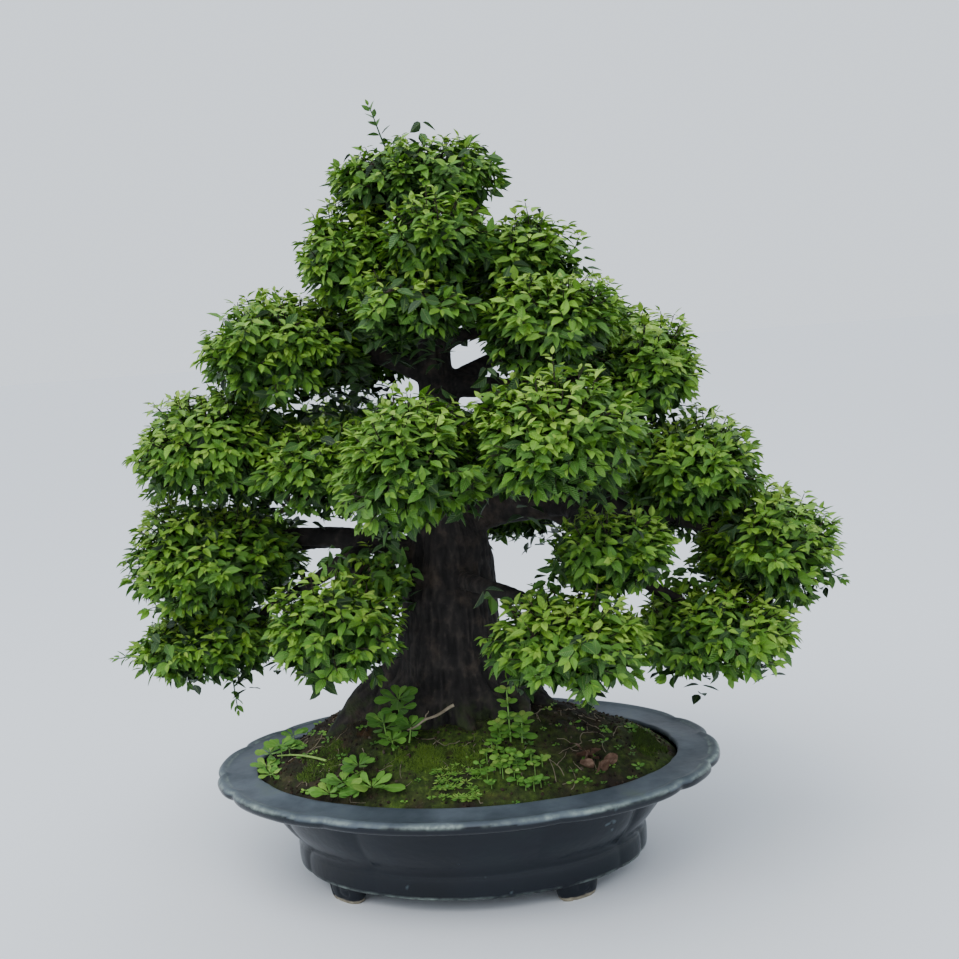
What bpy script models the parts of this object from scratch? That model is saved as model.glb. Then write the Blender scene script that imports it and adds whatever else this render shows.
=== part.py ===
"""Bonsai tree in a lobed oval glazed pot.

Metres, +Z up.  The pot's feet stand on z = 0, and the origin is under the middle of the whole
plant's box.  +X runs along the pot's length and -Y is the front.  Everything is laid out around
the middle of the pot and is moved to the origin in the last step.
"""
import math

import bmesh
import bpy
import numpy as np
from mathutils import Vector
from mathutils.bvhtree import BVHTree

# ---------------------------------------------------------------- driving dimensions
POT_LENGTH = 0.520
POT_WIDTH = 0.356
POT_HEIGHT = 0.116
LIP_WIDTH = 0.042
LIP_THICKNESS = 0.012
WALL = 0.010
FLOOR = 0.009
FLOOR_FILLET = 0.006
FOOT_HEIGHT = 0.016
FOOT_LENGTH = 0.046
FOOT_DEPTH = 0.022
FOOT_ANGLE = math.radians(47)
LOBE_DEPTH = 0.022
LOBE_ENDS = (13, 30, 64)
DRAIN_RADIUS = 0.014
DRAIN_X = 0.085
SCREEN_SIZE = 0.046
SCREEN_THICKNESS = 0.0015
GAP = 0.0004
WOOD_GAP = 0.0055
PAD_GAP = 0.0012
REST_GAP = 0.0015

SOIL_EDGE_DROP = 0.009
MOUND_HEIGHT = 0.058
MOUND_FLATNESS = 2.4
MOUND_RINGS = (0.86, 0.66, 0.44, 0.20)
TRUNK_X = -0.004
TRUNK_Y = 0.020

# ---------------------------------------------------------------- empty scene and collections
for thing in list(bpy.data.objects):
    bpy.data.objects.remove(thing, do_unlink=True)


def collection(name):
    """A new collection in the scene."""
    group = bpy.data.collections.new(name)
    bpy.context.scene.collection.children.link(group)
    return group


PARTS = collection("bonsai_in_pot")
CUTTERS = collection("cutters")


# ---------------------------------------------------------------- small tools
def material(name, colour, roughness, metallic=0.0):
    """A Principled BSDF material with one colour."""
    mat = bpy.data.materials.get(name)
    if mat is None:
        mat = bpy.data.materials.new(name)
        mat.use_nodes = True
        shader = mat.node_tree.nodes["Principled BSDF"]
        shader.inputs["Base Color"].default_value = (*colour, 1.0)
        shader.inputs["Roughness"].default_value = roughness
        shader.inputs["Metallic"].default_value = metallic
    return mat


GLAZE = material("glaze", (0.020, 0.032, 0.048), 0.30)
SOIL = material("soil", (0.045, 0.032, 0.022), 0.95)
BARK = material("bark", (0.040, 0.032, 0.028), 0.90)
LEAF = material("leaf", (0.080, 0.190, 0.035), 0.55)
SHOOT = material("shoot", (0.150, 0.240, 0.060), 0.60)
MOSS = material("moss", (0.070, 0.130, 0.020), 0.95)
WEED = material("weed", (0.130, 0.300, 0.050), 0.60)
DRY_LEAF = material("dry_leaf", (0.200, 0.095, 0.045), 0.80)
TWIG = material("dead_twig", (0.330, 0.280, 0.220), 0.85)
MESH = material("plastic_mesh", (0.020, 0.020, 0.022), 0.60)


def add_object(name, mesh, mat, group=PARTS):
    """An object around a mesh, with its material, in a collection."""
    obj = bpy.data.objects.new(name, mesh)
    group.objects.link(obj)
    mesh.materials.clear()
    mesh.materials.append(mat)
    return obj


def as_cutter(obj):
    """Move an object to the cutters and hide it from renders."""
    for group in list(obj.users_collection):
        group.objects.unlink(obj)
    CUTTERS.objects.link(obj)
    obj.hide_render = True
    obj.display_type = "WIRE"
    return obj


def boolean(obj, other, operation):
    """Cut an object by another, or join another to it."""
    step = obj.modifiers.new(f"{operation.lower()}_{other.name}", "BOOLEAN")
    step.operation = operation
    step.solver = "EXACT"
    step.object = other


def largest_body(mesh):
    """Remove all but the largest connected body of a mesh."""
    bm = bmesh.new()
    bm.from_mesh(mesh)
    left = set(bm.verts)
    bodies = []
    while left:
        stack = [left.pop()]
        body = list(stack)
        while stack:
            for edge in stack.pop().link_edges:
                for vert in edge.verts:
                    if vert in left:
                        left.remove(vert)
                        stack.append(vert)
                        body.append(vert)
        bodies.append(body)
    bodies.sort(key=len)
    for body in bodies[:-1]:
        bmesh.ops.delete(bm, geom=body, context="VERTS")
    bm.to_mesh(mesh)
    bm.free()


def apply_modifiers(obj):
    """Replace an object's mesh by its evaluated one, without its modifiers."""
    graph = bpy.context.evaluated_depsgraph_get()
    mesh = bpy.data.meshes.new_from_object(obj.evaluated_get(graph))
    obj.modifiers.clear()
    obj.data = mesh


def loft(name, rings, mat, group=PARTS):
    """A closed skin over rings of equal point count, listed from the middle of the bottom's
    outside to the last ring, with both ends closed by a face."""
    rings = np.asarray(rings, dtype=float)
    count, around = rings.shape[:2]
    index = np.arange(count * around).reshape(count, around)
    low, high = index[:-1], index[1:]
    quads = np.stack(
        [low, np.roll(low, -1, axis=1), np.roll(high, -1, axis=1), high], axis=-1
    ).reshape(-1, 4)
    faces = quads.tolist()
    faces.append(index[0, ::-1].tolist())
    faces.append(index[-1].tolist())
    mesh = bpy.data.meshes.new(name)
    mesh.from_pydata(rings.reshape(-1, 3).tolist(), [], faces)
    mesh.validate()
    return add_object(name, mesh, mat, group)


# ---------------------------------------------------------------- the pot's lobed outline
def lobe_marks():
    """The twelve notches between the lobes, as ellipse parameters in degrees."""
    first, second, third = LOBE_ENDS
    quarter = [first, second, third]
    half = quarter + [180 - a for a in reversed(quarter)]
    return half + [a + 180 for a in half]


POINTS_PER_LOBE = (2, 4, 6, 4, 2, 3)


def outline_angles():
    """Ellipse parameters around the pot, with a point on each notch."""
    marks = lobe_marks()
    angles = []
    for number, start in enumerate(marks):
        end = marks[(number + 1) % len(marks)] + (360 if number + 1 == len(marks) else 0)
        steps = POINTS_PER_LOBE[number % len(POINTS_PER_LOBE)]
        angles += [(start + (end - start) * step / steps, start, end) for step in range(steps)]
    return angles


OUTLINE = outline_angles()


def lobed_ring(scale, z, lobes=0.0, inset=0.0):
    """One ring of the pot: its outline scaled, less an inset, with lobes of the given strength."""
    ring = []
    for angle, start, end in OUTLINE:
        across = 2 * (angle - start) / (end - start) - 1
        pull = 1 - LOBE_DEPTH * lobes * abs(across) ** 4
        t = math.radians(angle)
        x = (POT_LENGTH / 2 * scale - inset) * pull * math.cos(t)
        y = (POT_WIDTH / 2 * scale - inset) * pull * math.sin(t)
        ring.append((x, y, z))
    return ring


# ---------------------------------------------------------------- pot
LIP_TOP = POT_HEIGHT
LIP_UNDER = POT_HEIGHT - LIP_THICKNESS
FLOOR_TOP = FOOT_HEIGHT + FLOOR

# (share of the outline, height, lobe strength) up the outside of the body
BODY_PROFILE = (
    (0.675, FOOT_HEIGHT, 0.35),
    (0.700, 0.022, 0.40),
    (0.700, 0.036, 0.45),
    (0.692, 0.041, 0.50),
    (0.735, 0.056, 0.80),
    (0.785, 0.077, 1.00),
    (0.820, 0.096, 1.00),
)
# (share of the outline, height) round the edge of the lip, from its underside to its top
LIP_PROFILE = (
    (0.860, LIP_UNDER),
    (0.975, LIP_UNDER + 0.001),
    (1.000, LIP_UNDER + 0.007),
    (0.988, LIP_TOP),
)
INNER_HEIGHTS = (0.030, 0.045, 0.070, 0.090)
MOUTH_HEIGHT = LIP_UNDER - 0.003
INNER_LOBES = 0.3


def inner_ring(z, extra=0.0):
    """The pot's inner wall at a height up to the lip, less an extra clearance."""
    shares = [row[0] for row in BODY_PROFILE]
    heights = [row[1] for row in BODY_PROFILE]
    return lobed_ring(float(np.interp(z, heights, shares)), z, INNER_LOBES, WALL + extra)


def mouth_ring(z, extra=0.0):
    """The inner edge of the lip at a height, less an extra clearance."""
    return lobed_ring(1.0, z, INNER_LOBES, LIP_WIDTH + extra)


def make_foot(name, angle):
    """A scroll foot under the base ring: a block with rounded ends that narrows to its sole."""
    share = 0.640
    x = POT_LENGTH / 2 * share * math.cos(angle)
    y = POT_WIDTH / 2 * share * math.sin(angle)
    tangent = math.atan2(POT_WIDTH * math.cos(angle), -POT_LENGTH * math.sin(angle))
    bpy.ops.mesh.primitive_cube_add(size=1.0)
    foot = bpy.context.object
    foot.name = name
    top = FOOT_HEIGHT + 0.006
    for vert in foot.data.vertices:
        narrow = 0.86 if vert.co.z < 0 else 1.0
        vert.co.x *= FOOT_LENGTH * narrow
        vert.co.y *= FOOT_DEPTH * narrow
        vert.co.z = (vert.co.z + 0.5) * top
    foot.location = (x, y, 0.0)
    foot.rotation_euler = (0.0, 0.0, tangent)
    edge = foot.modifiers.new("rounded_ends", "BEVEL")
    edge.width = 0.006
    edge.segments = 3
    edge.limit_method = "ANGLE"
    edge.angle_limit = math.radians(40)
    edge.affect = "EDGES"
    return as_cutter(foot)


def make_pot():
    """The fired pot: lobed body, lip, floor with drain holes, and four feet, in one piece."""
    outside = [lobed_ring(*row) for row in BODY_PROFILE]
    lip = [lobed_ring(share, z, 1.0) for share, z in LIP_PROFILE]
    lip += [mouth_ring(LIP_TOP - 0.001), mouth_ring(MOUTH_HEIGHT)]
    inside = [inner_ring(z) for z in reversed(INNER_HEIGHTS)]
    floor = [inner_ring(FLOOR_TOP, FLOOR_FILLET)]
    pot = loft("pot", outside + lip + inside + floor, GLAZE)
    for number, turn in enumerate((1, -1)):
        for side in (0, 1):
            angle = turn * FOOT_ANGLE if side == 0 else math.pi - turn * FOOT_ANGLE
            boolean(pot, make_foot(f"foot_{number}{side}", angle), "UNION")
    for side in (-1, 1):
        bpy.ops.mesh.primitive_cylinder_add(
            vertices=20,
            radius=DRAIN_RADIUS,
            depth=4 * FLOOR,
            location=(side * DRAIN_X, 0.0, FOOT_HEIGHT + FLOOR / 2),
        )
        hole = bpy.context.object
        hole.name = f"drain_hole_{side}"
        boolean(pot, as_cutter(hole), "DIFFERENCE")
    apply_modifiers(pot)
    return pot


# ---------------------------------------------------------------- drain screens
def make_screen(name, side):
    """A square of plastic mesh over a drain hole, on the pot's floor."""
    z = FLOOR_TOP + GAP + SCREEN_THICKNESS / 2
    bpy.ops.mesh.primitive_cube_add(size=1.0, location=(side * DRAIN_X, 0.0, z))
    screen = bpy.context.object
    for group in list(screen.users_collection):
        group.objects.unlink(screen)
    PARTS.objects.link(screen)
    screen.name = name
    for vert in screen.data.vertices:
        vert.co.x *= SCREEN_SIZE
        vert.co.y *= SCREEN_SIZE
        vert.co.z *= SCREEN_THICKNESS
    screen.data.materials.append(MESH)
    return screen


# ---------------------------------------------------------------- soil
def soil_height(x, y):
    """The mound's surface: it falls from the trunk to a level edge just below the lip, with a
    ridge over the thick roots at the left."""
    across = (x / (POT_LENGTH / 2 - LIP_WIDTH)) ** 2 + (y / (POT_WIDTH / 2 - LIP_WIDTH)) ** 2
    radius = min(math.sqrt(across), 1.0)
    ridge = 0.014 * math.exp(-(((x + 0.11) / 0.06) ** 2) - ((y - 0.03) / 0.05) ** 2)
    mound = MOUND_HEIGHT * (1 - radius**MOUND_FLATNESS)
    return POT_HEIGHT - SOIL_EDGE_DROP + mound + ridge * (1 - radius**4)


def make_soil():
    """The soil in the pot, one packed body from the floor to the top of its mound."""
    rings = [inner_ring(FLOOR_TOP + GAP, FLOOR_FILLET + 3 * GAP)]
    rings += [inner_ring(z, 2 * GAP) for z in INNER_HEIGHTS]
    rings += [mouth_ring(MOUTH_HEIGHT, 2 * GAP), mouth_ring(POT_HEIGHT - SOIL_EDGE_DROP, 2 * GAP)]
    edge = rings[-1]
    for share in MOUND_RINGS:
        places = [(x * share, y * share) for x, y, _ in edge]
        rings.append([(x, y, soil_height(x, y)) for x, y in places])
    return loft("soil", rings, SOIL)


# ---------------------------------------------------------------- wood
# trunk: (x, y, z, radius), from the root crown to the top
TRUNK = (
    (-0.004, 0.020, 0.110, 0.074),
    (-0.006, 0.020, 0.165, 0.066),
    (-0.008, 0.020, 0.205, 0.056),
    (-0.007, 0.020, 0.255, 0.051),
    (-0.002, 0.020, 0.305, 0.045),
    (0.000, 0.020, 0.345, 0.040),
    (0.002, 0.020, 0.395, 0.033),
    (0.003, 0.020, 0.445, 0.025),
    (0.001, 0.020, 0.495, 0.018),
    (0.001, 0.020, 0.530, 0.016),
    (0.006, 0.018, 0.580, 0.015),
    (0.006, 0.014, 0.630, 0.013),
    (0.002, 0.008, 0.680, 0.008),
)

# surface roots: (direction in degrees, reach, radius at the trunk)
ROOTS = (
    (184, 0.150, 0.024),
    (207, 0.100, 0.017),
    (243, 0.080, 0.018),
    (272, 0.072, 0.016),
    (304, 0.080, 0.017),
    (338, 0.092, 0.018),
    (12, 0.100, 0.020),
    (50, 0.060, 0.016),
    (88, 0.045, 0.016),
    (130, 0.060, 0.018),
    (160, 0.090, 0.018),
)

# foliage pads: (x, y, z, half length, half depth, half height)
PADS = {
    "crown": (-0.003, 0.005, 0.694, 0.089, 0.068, 0.036),
    "shoulder_left": (-0.060, -0.010, 0.620, 0.060, 0.070, 0.054),
    "shoulder_front": (0.026, -0.065, 0.631, 0.056, 0.048, 0.038),
    "shoulder_right": (0.092, 0.000, 0.606, 0.060, 0.070, 0.046),
    "breast": (0.002, -0.090, 0.572, 0.058, 0.050, 0.030),
    "upper_front": (0.128, -0.060, 0.548, 0.070, 0.070, 0.050),
    "upper_left": (-0.142, -0.005, 0.542, 0.084, 0.085, 0.055),
    "upper_right": (0.204, 0.005, 0.492, 0.058, 0.075, 0.056),
    "centre_left": (0.010, -0.185, 0.440, 0.070, 0.075, 0.058),
    "centre_right": (0.126, -0.170, 0.455, 0.080, 0.080, 0.056),
    "inner_left": (-0.104, -0.056, 0.427, 0.060, 0.060, 0.044),
    "trunk_left": (-0.064, -0.050, 0.312, 0.030, 0.032, 0.024),
    "middle_left": (-0.222, 0.000, 0.445, 0.084, 0.090, 0.062),
    "low_left": (-0.246, 0.010, 0.333, 0.086, 0.090, 0.064),
    "low_left_front": (-0.087, -0.130, 0.286, 0.062, 0.065, 0.050),
    "bottom_left": (-0.256, 0.000, 0.246, 0.078, 0.075, 0.036),
    "middle_right": (0.243, 0.005, 0.400, 0.068, 0.085, 0.052),
    "middle_right_front": (0.170, -0.120, 0.346, 0.060, 0.060, 0.036),
    "far_right": (0.312, 0.010, 0.310, 0.064, 0.085, 0.066),
    "low_right_front": (0.132, -0.170, 0.278, 0.069, 0.065, 0.045),
    "low_right": (0.262, -0.035, 0.246, 0.080, 0.080, 0.042),
    "back_top": (0.030, 0.100, 0.610, 0.080, 0.060, 0.048),
    "back_upper_left": (-0.100, 0.125, 0.532, 0.085, 0.070, 0.044),
    "back_upper_right": (0.130, 0.130, 0.526, 0.085, 0.070, 0.044),
    "back_middle_left": (-0.130, 0.185, 0.424, 0.100, 0.075, 0.046),
    "back_middle_right": (0.090, 0.195, 0.422, 0.110, 0.080, 0.046),
    "back_low_left": (-0.265, 0.135, 0.300, 0.066, 0.070, 0.050),
    "back_low_right": (0.215, 0.165, 0.340, 0.085, 0.075, 0.050),
    "back_low": (0.030, 0.225, 0.335, 0.090, 0.060, 0.040),
}

# limbs: pad fed, (height on the trunk, or the limb it forks from), radius at the start, rise
LIMBS = (
    ("low_left", 0.315, 0.015, 0.020),
    ("middle_left", 0.385, 0.016, 0.008),
    ("far_right", 0.355, 0.018, 0.030),
    ("low_right_front", 0.300, 0.010, 0.010),
    ("trunk_left", 0.290, 0.006, 0.004),
    ("centre_left", 0.400, 0.012, 0.010),
    ("centre_right", 0.425, 0.013, 0.010),
    ("upper_left", 0.500, 0.011, 0.010),
    ("upper_right", 0.495, 0.012, -0.010),
    ("upper_front", 0.530, 0.009, 0.006),
    ("breast", 0.555, 0.008, 0.006),
    ("shoulder_left", 0.590, 0.009, 0.004),
    ("shoulder_front", 0.610, 0.008, 0.004),
    ("shoulder_right", 0.585, 0.009, 0.004),
    ("back_top", 0.570, 0.009, 0.004),
    ("back_upper_left", 0.500, 0.010, 0.006),
    ("back_upper_right", 0.490, 0.010, 0.006),
    ("back_middle_left", 0.380, 0.013, 0.010),
    ("back_middle_right", 0.375, 0.013, 0.012),
    ("back_low", 0.300, 0.011, 0.016),
    ("bottom_left", "low_left", 0.009, -0.006),
    ("back_low_left", "low_left", 0.008, 0.004),
    ("low_left_front", "low_left", 0.008, 0.006),
    ("inner_left", "middle_left", 0.008, 0.006),
    ("middle_right", "far_right", 0.010, 0.004),
    ("middle_right_front", "far_right", 0.009, 0.004),
    ("low_right", "far_right", 0.010, -0.004),
    ("back_low_right", "far_right", 0.009, 0.006),
)
FORK_AT = 2
ROOT_LIFT = 0.058
LIMB_STEPS = 6


def trunk_at(z):
    """The trunk's middle at a height."""
    rows = np.array(TRUNK)
    return Vector([float(np.interp(z, rows[:, 2], rows[:, column])) for column in (0, 1)] + [z])


def limb_points(start, end, rise, phase):
    """A limb from start to end: a straight run, lifted in its middle and slightly crooked."""
    run = end - start
    side = Vector((-run.y, run.x, 0.0)).normalized()
    points = []
    for step in range(LIMB_STEPS + 1):
        u = step / LIMB_STEPS
        arch = 4 * u * (1 - u)
        crook = 0.010 * arch * math.sin(7 * u + phase)
        points.append(start + run * u + side * crook + Vector((0, 0, rise * arch)))
    return points


def limb_routes():
    """All limbs, as (points, first radius, last radius)."""
    routes = {}
    for number, (pad, origin, radius, rise) in enumerate(LIMBS):
        start = routes[origin][0][FORK_AT] if isinstance(origin, str) else trunk_at(origin)
        end = Vector(PADS[pad][:3])
        routes[pad] = (limb_points(start, end, rise, number), radius, radius * 0.45)
    return routes


def root_routes():
    """All surface roots: out of the flare and down into the soil."""
    routes = []
    for direction, reach, radius in ROOTS:
        angle = math.radians(direction)
        points = []
        for step in range(LIMB_STEPS + 1):
            u = step / LIMB_STEPS
            out = 0.030 + reach * u
            bend = angle + 0.25 * u * math.sin(direction)
            x = TRUNK_X + out * math.cos(bend)
            y = TRUNK_Y + out * math.sin(bend) * 0.9
            sunk = radius * (0.30 + 0.95 * u * u)
            lift = ROOT_LIFT * (1 - u) ** 2.2
            points.append(Vector((x, y, soil_height(x, y) + lift - sunk)))
        routes.append((points, radius, radius * 0.40))
    return routes


def tube(name, points, radii):
    """A round tapered tube along points, with closed ends, as a mesh object."""
    curve = bpy.data.curves.new(name, "CURVE")
    curve.dimensions = "3D"
    curve.bevel_depth = 1.0
    curve.bevel_resolution = 2
    curve.use_fill_caps = True
    spline = curve.splines.new("POLY")
    spline.points.add(len(points) - 1)
    for point, place, radius in zip(spline.points, points, radii):
        point.co = (*place, 1.0)
        point.radius = radius
    source = bpy.data.objects.new(name, curve)
    bpy.context.scene.collection.objects.link(source)
    graph = bpy.context.evaluated_depsgraph_get()
    mesh = bpy.data.meshes.new_from_object(source.evaluated_get(graph))
    bpy.data.objects.remove(source, do_unlink=True)
    bm = bmesh.new()
    bm.from_mesh(mesh)
    bmesh.ops.remove_doubles(bm, verts=bm.verts, dist=1e-6)
    bmesh.ops.recalc_face_normals(bm, faces=bm.faces)
    bm.to_mesh(mesh)
    bm.free()
    return mesh


def stems():
    """Every stem of the wood, as (points, radii): the trunk, then the limbs, then the roots."""
    grown = [([Vector(row[:3]) for row in TRUNK], [row[3] for row in TRUNK])]
    for points, first, last in list(limb_routes().values()) + root_routes():
        grown.append((points, np.linspace(first, last, len(points)).tolist()))
    return grown


def make_wood():
    """Trunk, roots and limbs grown together in one body."""
    bm = bmesh.new()
    for number, (points, radii) in enumerate(stems()):
        bm.from_mesh(tube(f"stem_{number}", points, radii))
    mesh = bpy.data.meshes.new("tree_wood")
    bm.to_mesh(mesh)
    bm.free()
    wood = add_object("tree_wood", mesh, BARK)
    join = wood.modifiers.new("grown_together", "REMESH")
    join.mode = "VOXEL"
    join.voxel_size = 0.0035
    thin = wood.modifiers.new("fewer_faces", "DECIMATE")
    thin.ratio = 0.035
    apply_modifiers(wood)
    largest_body(wood.data)
    return wood


def make_rooms():
    """A cutter round each stem, thicker and longer by the clearance that the wood keeps."""
    rooms = []
    for number, (points, radii) in enumerate(stems()):
        tip = points[-1] + (points[-1] - points[-2]).normalized() * 2 * WOOD_GAP
        thick = [radius + WOOD_GAP for radius in radii]
        mesh = tube(f"room_{number}", points[:-1] + [tip], thick)
        rooms.append(as_cutter(add_object(f"room_{number}", mesh, BARK)))
    return rooms


def box_of(obj):
    """An object's lowest and highest corners, from its mesh."""
    places = np.array([vert.co for vert in obj.data.vertices])
    return places.min(axis=0), places.max(axis=0)


def make_room_for_wood(obj, rooms):
    """Cut from an object the room of each stem that reaches it."""
    low, high = box_of(obj)
    for room in rooms:
        room_low, room_high = box_of(room)
        if (room_low < high).all() and (room_high > low).all():
            boolean(obj, room, "DIFFERENCE")
    apply_modifiers(obj)
    largest_body(obj.data)


# ---------------------------------------------------------------- foliage pads
PAD_SEGMENTS = 12
PAD_RINGS = 7


def make_pad(name, shape):
    """A leafy pad: a flattened ball with a flatter underside, kept on its own side of the planes
    half way to each neighbour."""
    centre = Vector(shape[:3])
    half = Vector(shape[3:])
    bm = bmesh.new()
    bmesh.ops.create_uvsphere(bm, u_segments=PAD_SEGMENTS, v_segments=PAD_RINGS, radius=1.0)
    for vert in bm.verts:
        way = vert.co.normalized()
        lump = 1.0 + 0.05 * math.sin(3 * math.atan2(way.y, way.x) + centre.x * 40)
        place = Vector((way.x * half.x, way.y * half.y, way.z * half.z)) * lump
        if place.z < 0:
            place.z *= 0.85
        reach = 1.0
        for other, rival in PADS.items():
            if other == name:
                continue
            away = Vector(rival[:3]) - centre
            distance = away.length
            away.normalize()
            own = Vector((away.x * half.x, away.y * half.y, away.z * half.z)).length
            theirs = Vector((away.x * rival[3], away.y * rival[4], away.z * rival[5])).length
            limit = distance * own / (own + theirs) - PAD_GAP
            forward = place.dot(away)
            if forward > limit:
                reach = min(reach, limit / forward)
        vert.co = centre + place * reach
    mesh = bpy.data.meshes.new(name)
    bm.to_mesh(mesh)
    bm.free()
    return add_object(f"foliage_{name}", mesh, LEAF)


# ---------------------------------------------------------------- young shoots
# (a point inside the pad, tip, radius)
SHOOTS = {
    "shoot_top": ((-0.022, 0.006, 0.715), (-0.038, 0.000, 0.765), 0.0014),
    "shoot_left": ((-0.290, 0.000, 0.238), (-0.362, -0.004, 0.233), 0.0014),
    "shoot_right": ((0.340, 0.006, 0.300), (0.386, 0.000, 0.280), 0.0014),
    "shoot_hanging": ((-0.232, -0.020, 0.230), (-0.228, -0.022, 0.178), 0.0014),
}
SHOOT_CLEARANCE = 0.002


def make_shoot(name, inside, tip, radius, leaves):
    """A thin young shoot, slightly bowed, from just outside its pad to its tip."""
    inward = (Vector(inside) - Vector(tip)).normalized()
    start = leaves.ray_cast(Vector(tip), inward)[0] - inward * SHOOT_CLEARANCE
    run = Vector(tip) - start
    bow = Vector((0.0, 0.0, -0.06 * run.length))
    points = [start + run * u + bow * 4 * u * (1 - u) for u in (0, 0.25, 0.5, 0.75, 1)]
    mesh = tube(name, points, [radius, radius, radius * 0.9, radius * 0.8, radius * 0.6])
    return add_object(name, mesh, SHOOT)


# ---------------------------------------------------------------- plants and litter on the soil
# (x, y, half length, half width, half height)
SMALL_PLANTS = {
    "weed_rosette": (-0.090, -0.104, 0.042, 0.022, 0.011),
    "weed_upright": (-0.054, -0.062, 0.018, 0.016, 0.030),
    "seedlings_left": (-0.188, -0.020, 0.020, 0.028, 0.014),
    "weed_round_leaf": (0.058, -0.066, 0.016, 0.014, 0.026),
    "weed_feathery": (0.008, -0.116, 0.022, 0.013, 0.007),
    "weed_small_leaf": (0.062, -0.098, 0.030, 0.014, 0.012),
    "dry_leaves": (0.140, -0.074, 0.018, 0.014, 0.009),
}
MOSS_PATCHES = {
    "moss_front": (-0.010, -0.088, 0.045, 0.015, 0.003),
    "moss_right": (0.186, 0.004, 0.022, 0.036, 0.004),
    "moss_left": (-0.130, -0.062, 0.030, 0.022, 0.003),
}


BELOW_LIMBS = 0.215


def ground_under(ground, x, y):
    """The height of the soil, moss or root under a place, looking down from below the limbs."""
    hit = ground.ray_cast(Vector((x, y, BELOW_LIMBS)), Vector((0, 0, -1)))[0]
    return soil_height(x, y) if hit is None else hit.z


def rest_on(obj, ground, gap):
    """Lift an object until it clears the ground by a gap, measured from each of its points."""
    lift = 0.0
    for vert in obj.data.vertices:
        lift = max(lift, ground_under(ground, vert.co.x, vert.co.y) + gap - vert.co.z)
    for vert in obj.data.vertices:
        vert.co.z += lift


def make_small_plant(name, shape, ground):
    """A small plant as the closed outer shape of its leaves, on a narrow stem base."""
    x, y, length, width, height = shape
    bm = bmesh.new()
    bmesh.ops.create_uvsphere(bm, u_segments=8, v_segments=6, radius=1.0)
    for vert in bm.verts:
        spread = 1.0 if vert.co.z > 0 else max(0.0, 1.0 + vert.co.z) ** 0.8
        vert.co.x = x + vert.co.x * length * max(spread, 0.15)
        vert.co.y = y + vert.co.y * width * max(spread, 0.15)
        vert.co.z = soil_height(x, y) + vert.co.z * height
    mesh = bpy.data.meshes.new(name)
    bm.to_mesh(mesh)
    bm.free()
    plant = add_object(name, mesh, DRY_LEAF if name == "dry_leaves" else WEED)
    rest_on(plant, ground, REST_GAP)
    return plant


def make_moss(name, shape, ground):
    """A low cushion of moss whose underside follows the soil."""
    x, y, length, width, height = shape
    bm = bmesh.new()
    bmesh.ops.create_uvsphere(bm, u_segments=10, v_segments=5, radius=1.0)
    for vert in bm.verts:
        place_x = x + vert.co.x * length
        place_y = y + vert.co.y * width
        base = ground_under(ground, place_x, place_y) + GAP * 2
        vert.co = (place_x, place_y, base + max(vert.co.z, -0.2) * height + 0.2 * height)
    mesh = bpy.data.meshes.new(name)
    bm.to_mesh(mesh)
    bm.free()
    moss = add_object(name, mesh, MOSS)
    rest_on(moss, ground, REST_GAP)
    return moss


def make_dead_twig(ground):
    """A dead twig that lies on the soil at the front of the trunk."""
    points = [Vector((-0.040 + 0.046 * u, -0.080 + 0.010 * u, 0.170 + 0.020 * u)) for u in (0, 0.5, 1)]
    twig = add_object("dead_twig", tube("dead_twig", points, (0.0016, 0.0018, 0.0012)), TWIG)
    rest_on(twig, ground, REST_GAP)
    return twig


# ---------------------------------------------------------------- assembly
def tree_of(objects):
    """A search tree over several objects' faces."""
    verts, faces = [], []
    for obj in objects:
        first = len(verts)
        verts += [vert.co.copy() for vert in obj.data.vertices]
        faces += [[first + i for i in face.vertices] for face in obj.data.polygons]
    return BVHTree.FromPolygons(verts, faces)


def centre_on_origin(objects):
    """Move every mesh so that the box around them all stands centred on the origin."""
    corners = np.array([obj.matrix_world @ vert.co for obj in objects for vert in obj.data.vertices])
    low, high = corners.min(axis=0), corners.max(axis=0)
    shift = Vector((-(low[0] + high[0]) / 2, -(low[1] + high[1]) / 2, -low[2]))
    for obj in objects:
        obj.location += shift


def main():
    """Build every piece, cut the pieces clear of each other and stand the plant on z = 0."""
    pot = make_pot()
    screens = [make_screen("drain_screen_left", -1), make_screen("drain_screen_right", 1)]
    wood = make_wood()
    rooms = make_rooms()
    soil = make_soil()
    for screen in screens:
        room = bpy.data.objects.new(f"{screen.name}_room", screen.data.copy())
        room.location = screen.location
        for vert in room.data.vertices:
            vert.co += Vector([math.copysign(GAP, part) for part in vert.co])
        CUTTERS.objects.link(room)
        boolean(soil, as_cutter(room), "DIFFERENCE")
    make_room_for_wood(soil, rooms)
    pads = [make_pad(name, shape) for name, shape in PADS.items()]
    for pad in pads:
        make_room_for_wood(pad, rooms)
    leaves = tree_of(pads)
    shoots = [make_shoot(name, *shape, leaves) for name, shape in SHOOTS.items()]
    ground = tree_of([soil, wood])
    moss = [make_moss(name, shape, ground) for name, shape in MOSS_PATCHES.items()]
    ground = tree_of([soil, wood] + moss)
    plants = [make_small_plant(name, shape, ground) for name, shape in SMALL_PLANTS.items()]
    twig = make_dead_twig(ground)
    everything = [pot, *screens, wood, soil, *pads, *shoots, *moss, *plants, twig]
    bpy.context.view_layer.update()
    centre_on_origin(everything)
    for obj in everything:
        obj.data.shade_smooth()
        obj.data.set_sharp_from_angle(angle=math.radians(40))


main()
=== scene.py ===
"""A broad small-leaved bonsai in a lobed oval glazed pot: the surface and finish of every piece.

The file follows the potted tree as it is put together: pot, drain screens, soil, wood, leaf pads,
young shoots, moss, small plants and litter.  Metres, +Z up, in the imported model's own frame.
"""
import math

import bpy
import numpy as np
from mathutils import Matrix, Vector


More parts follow.
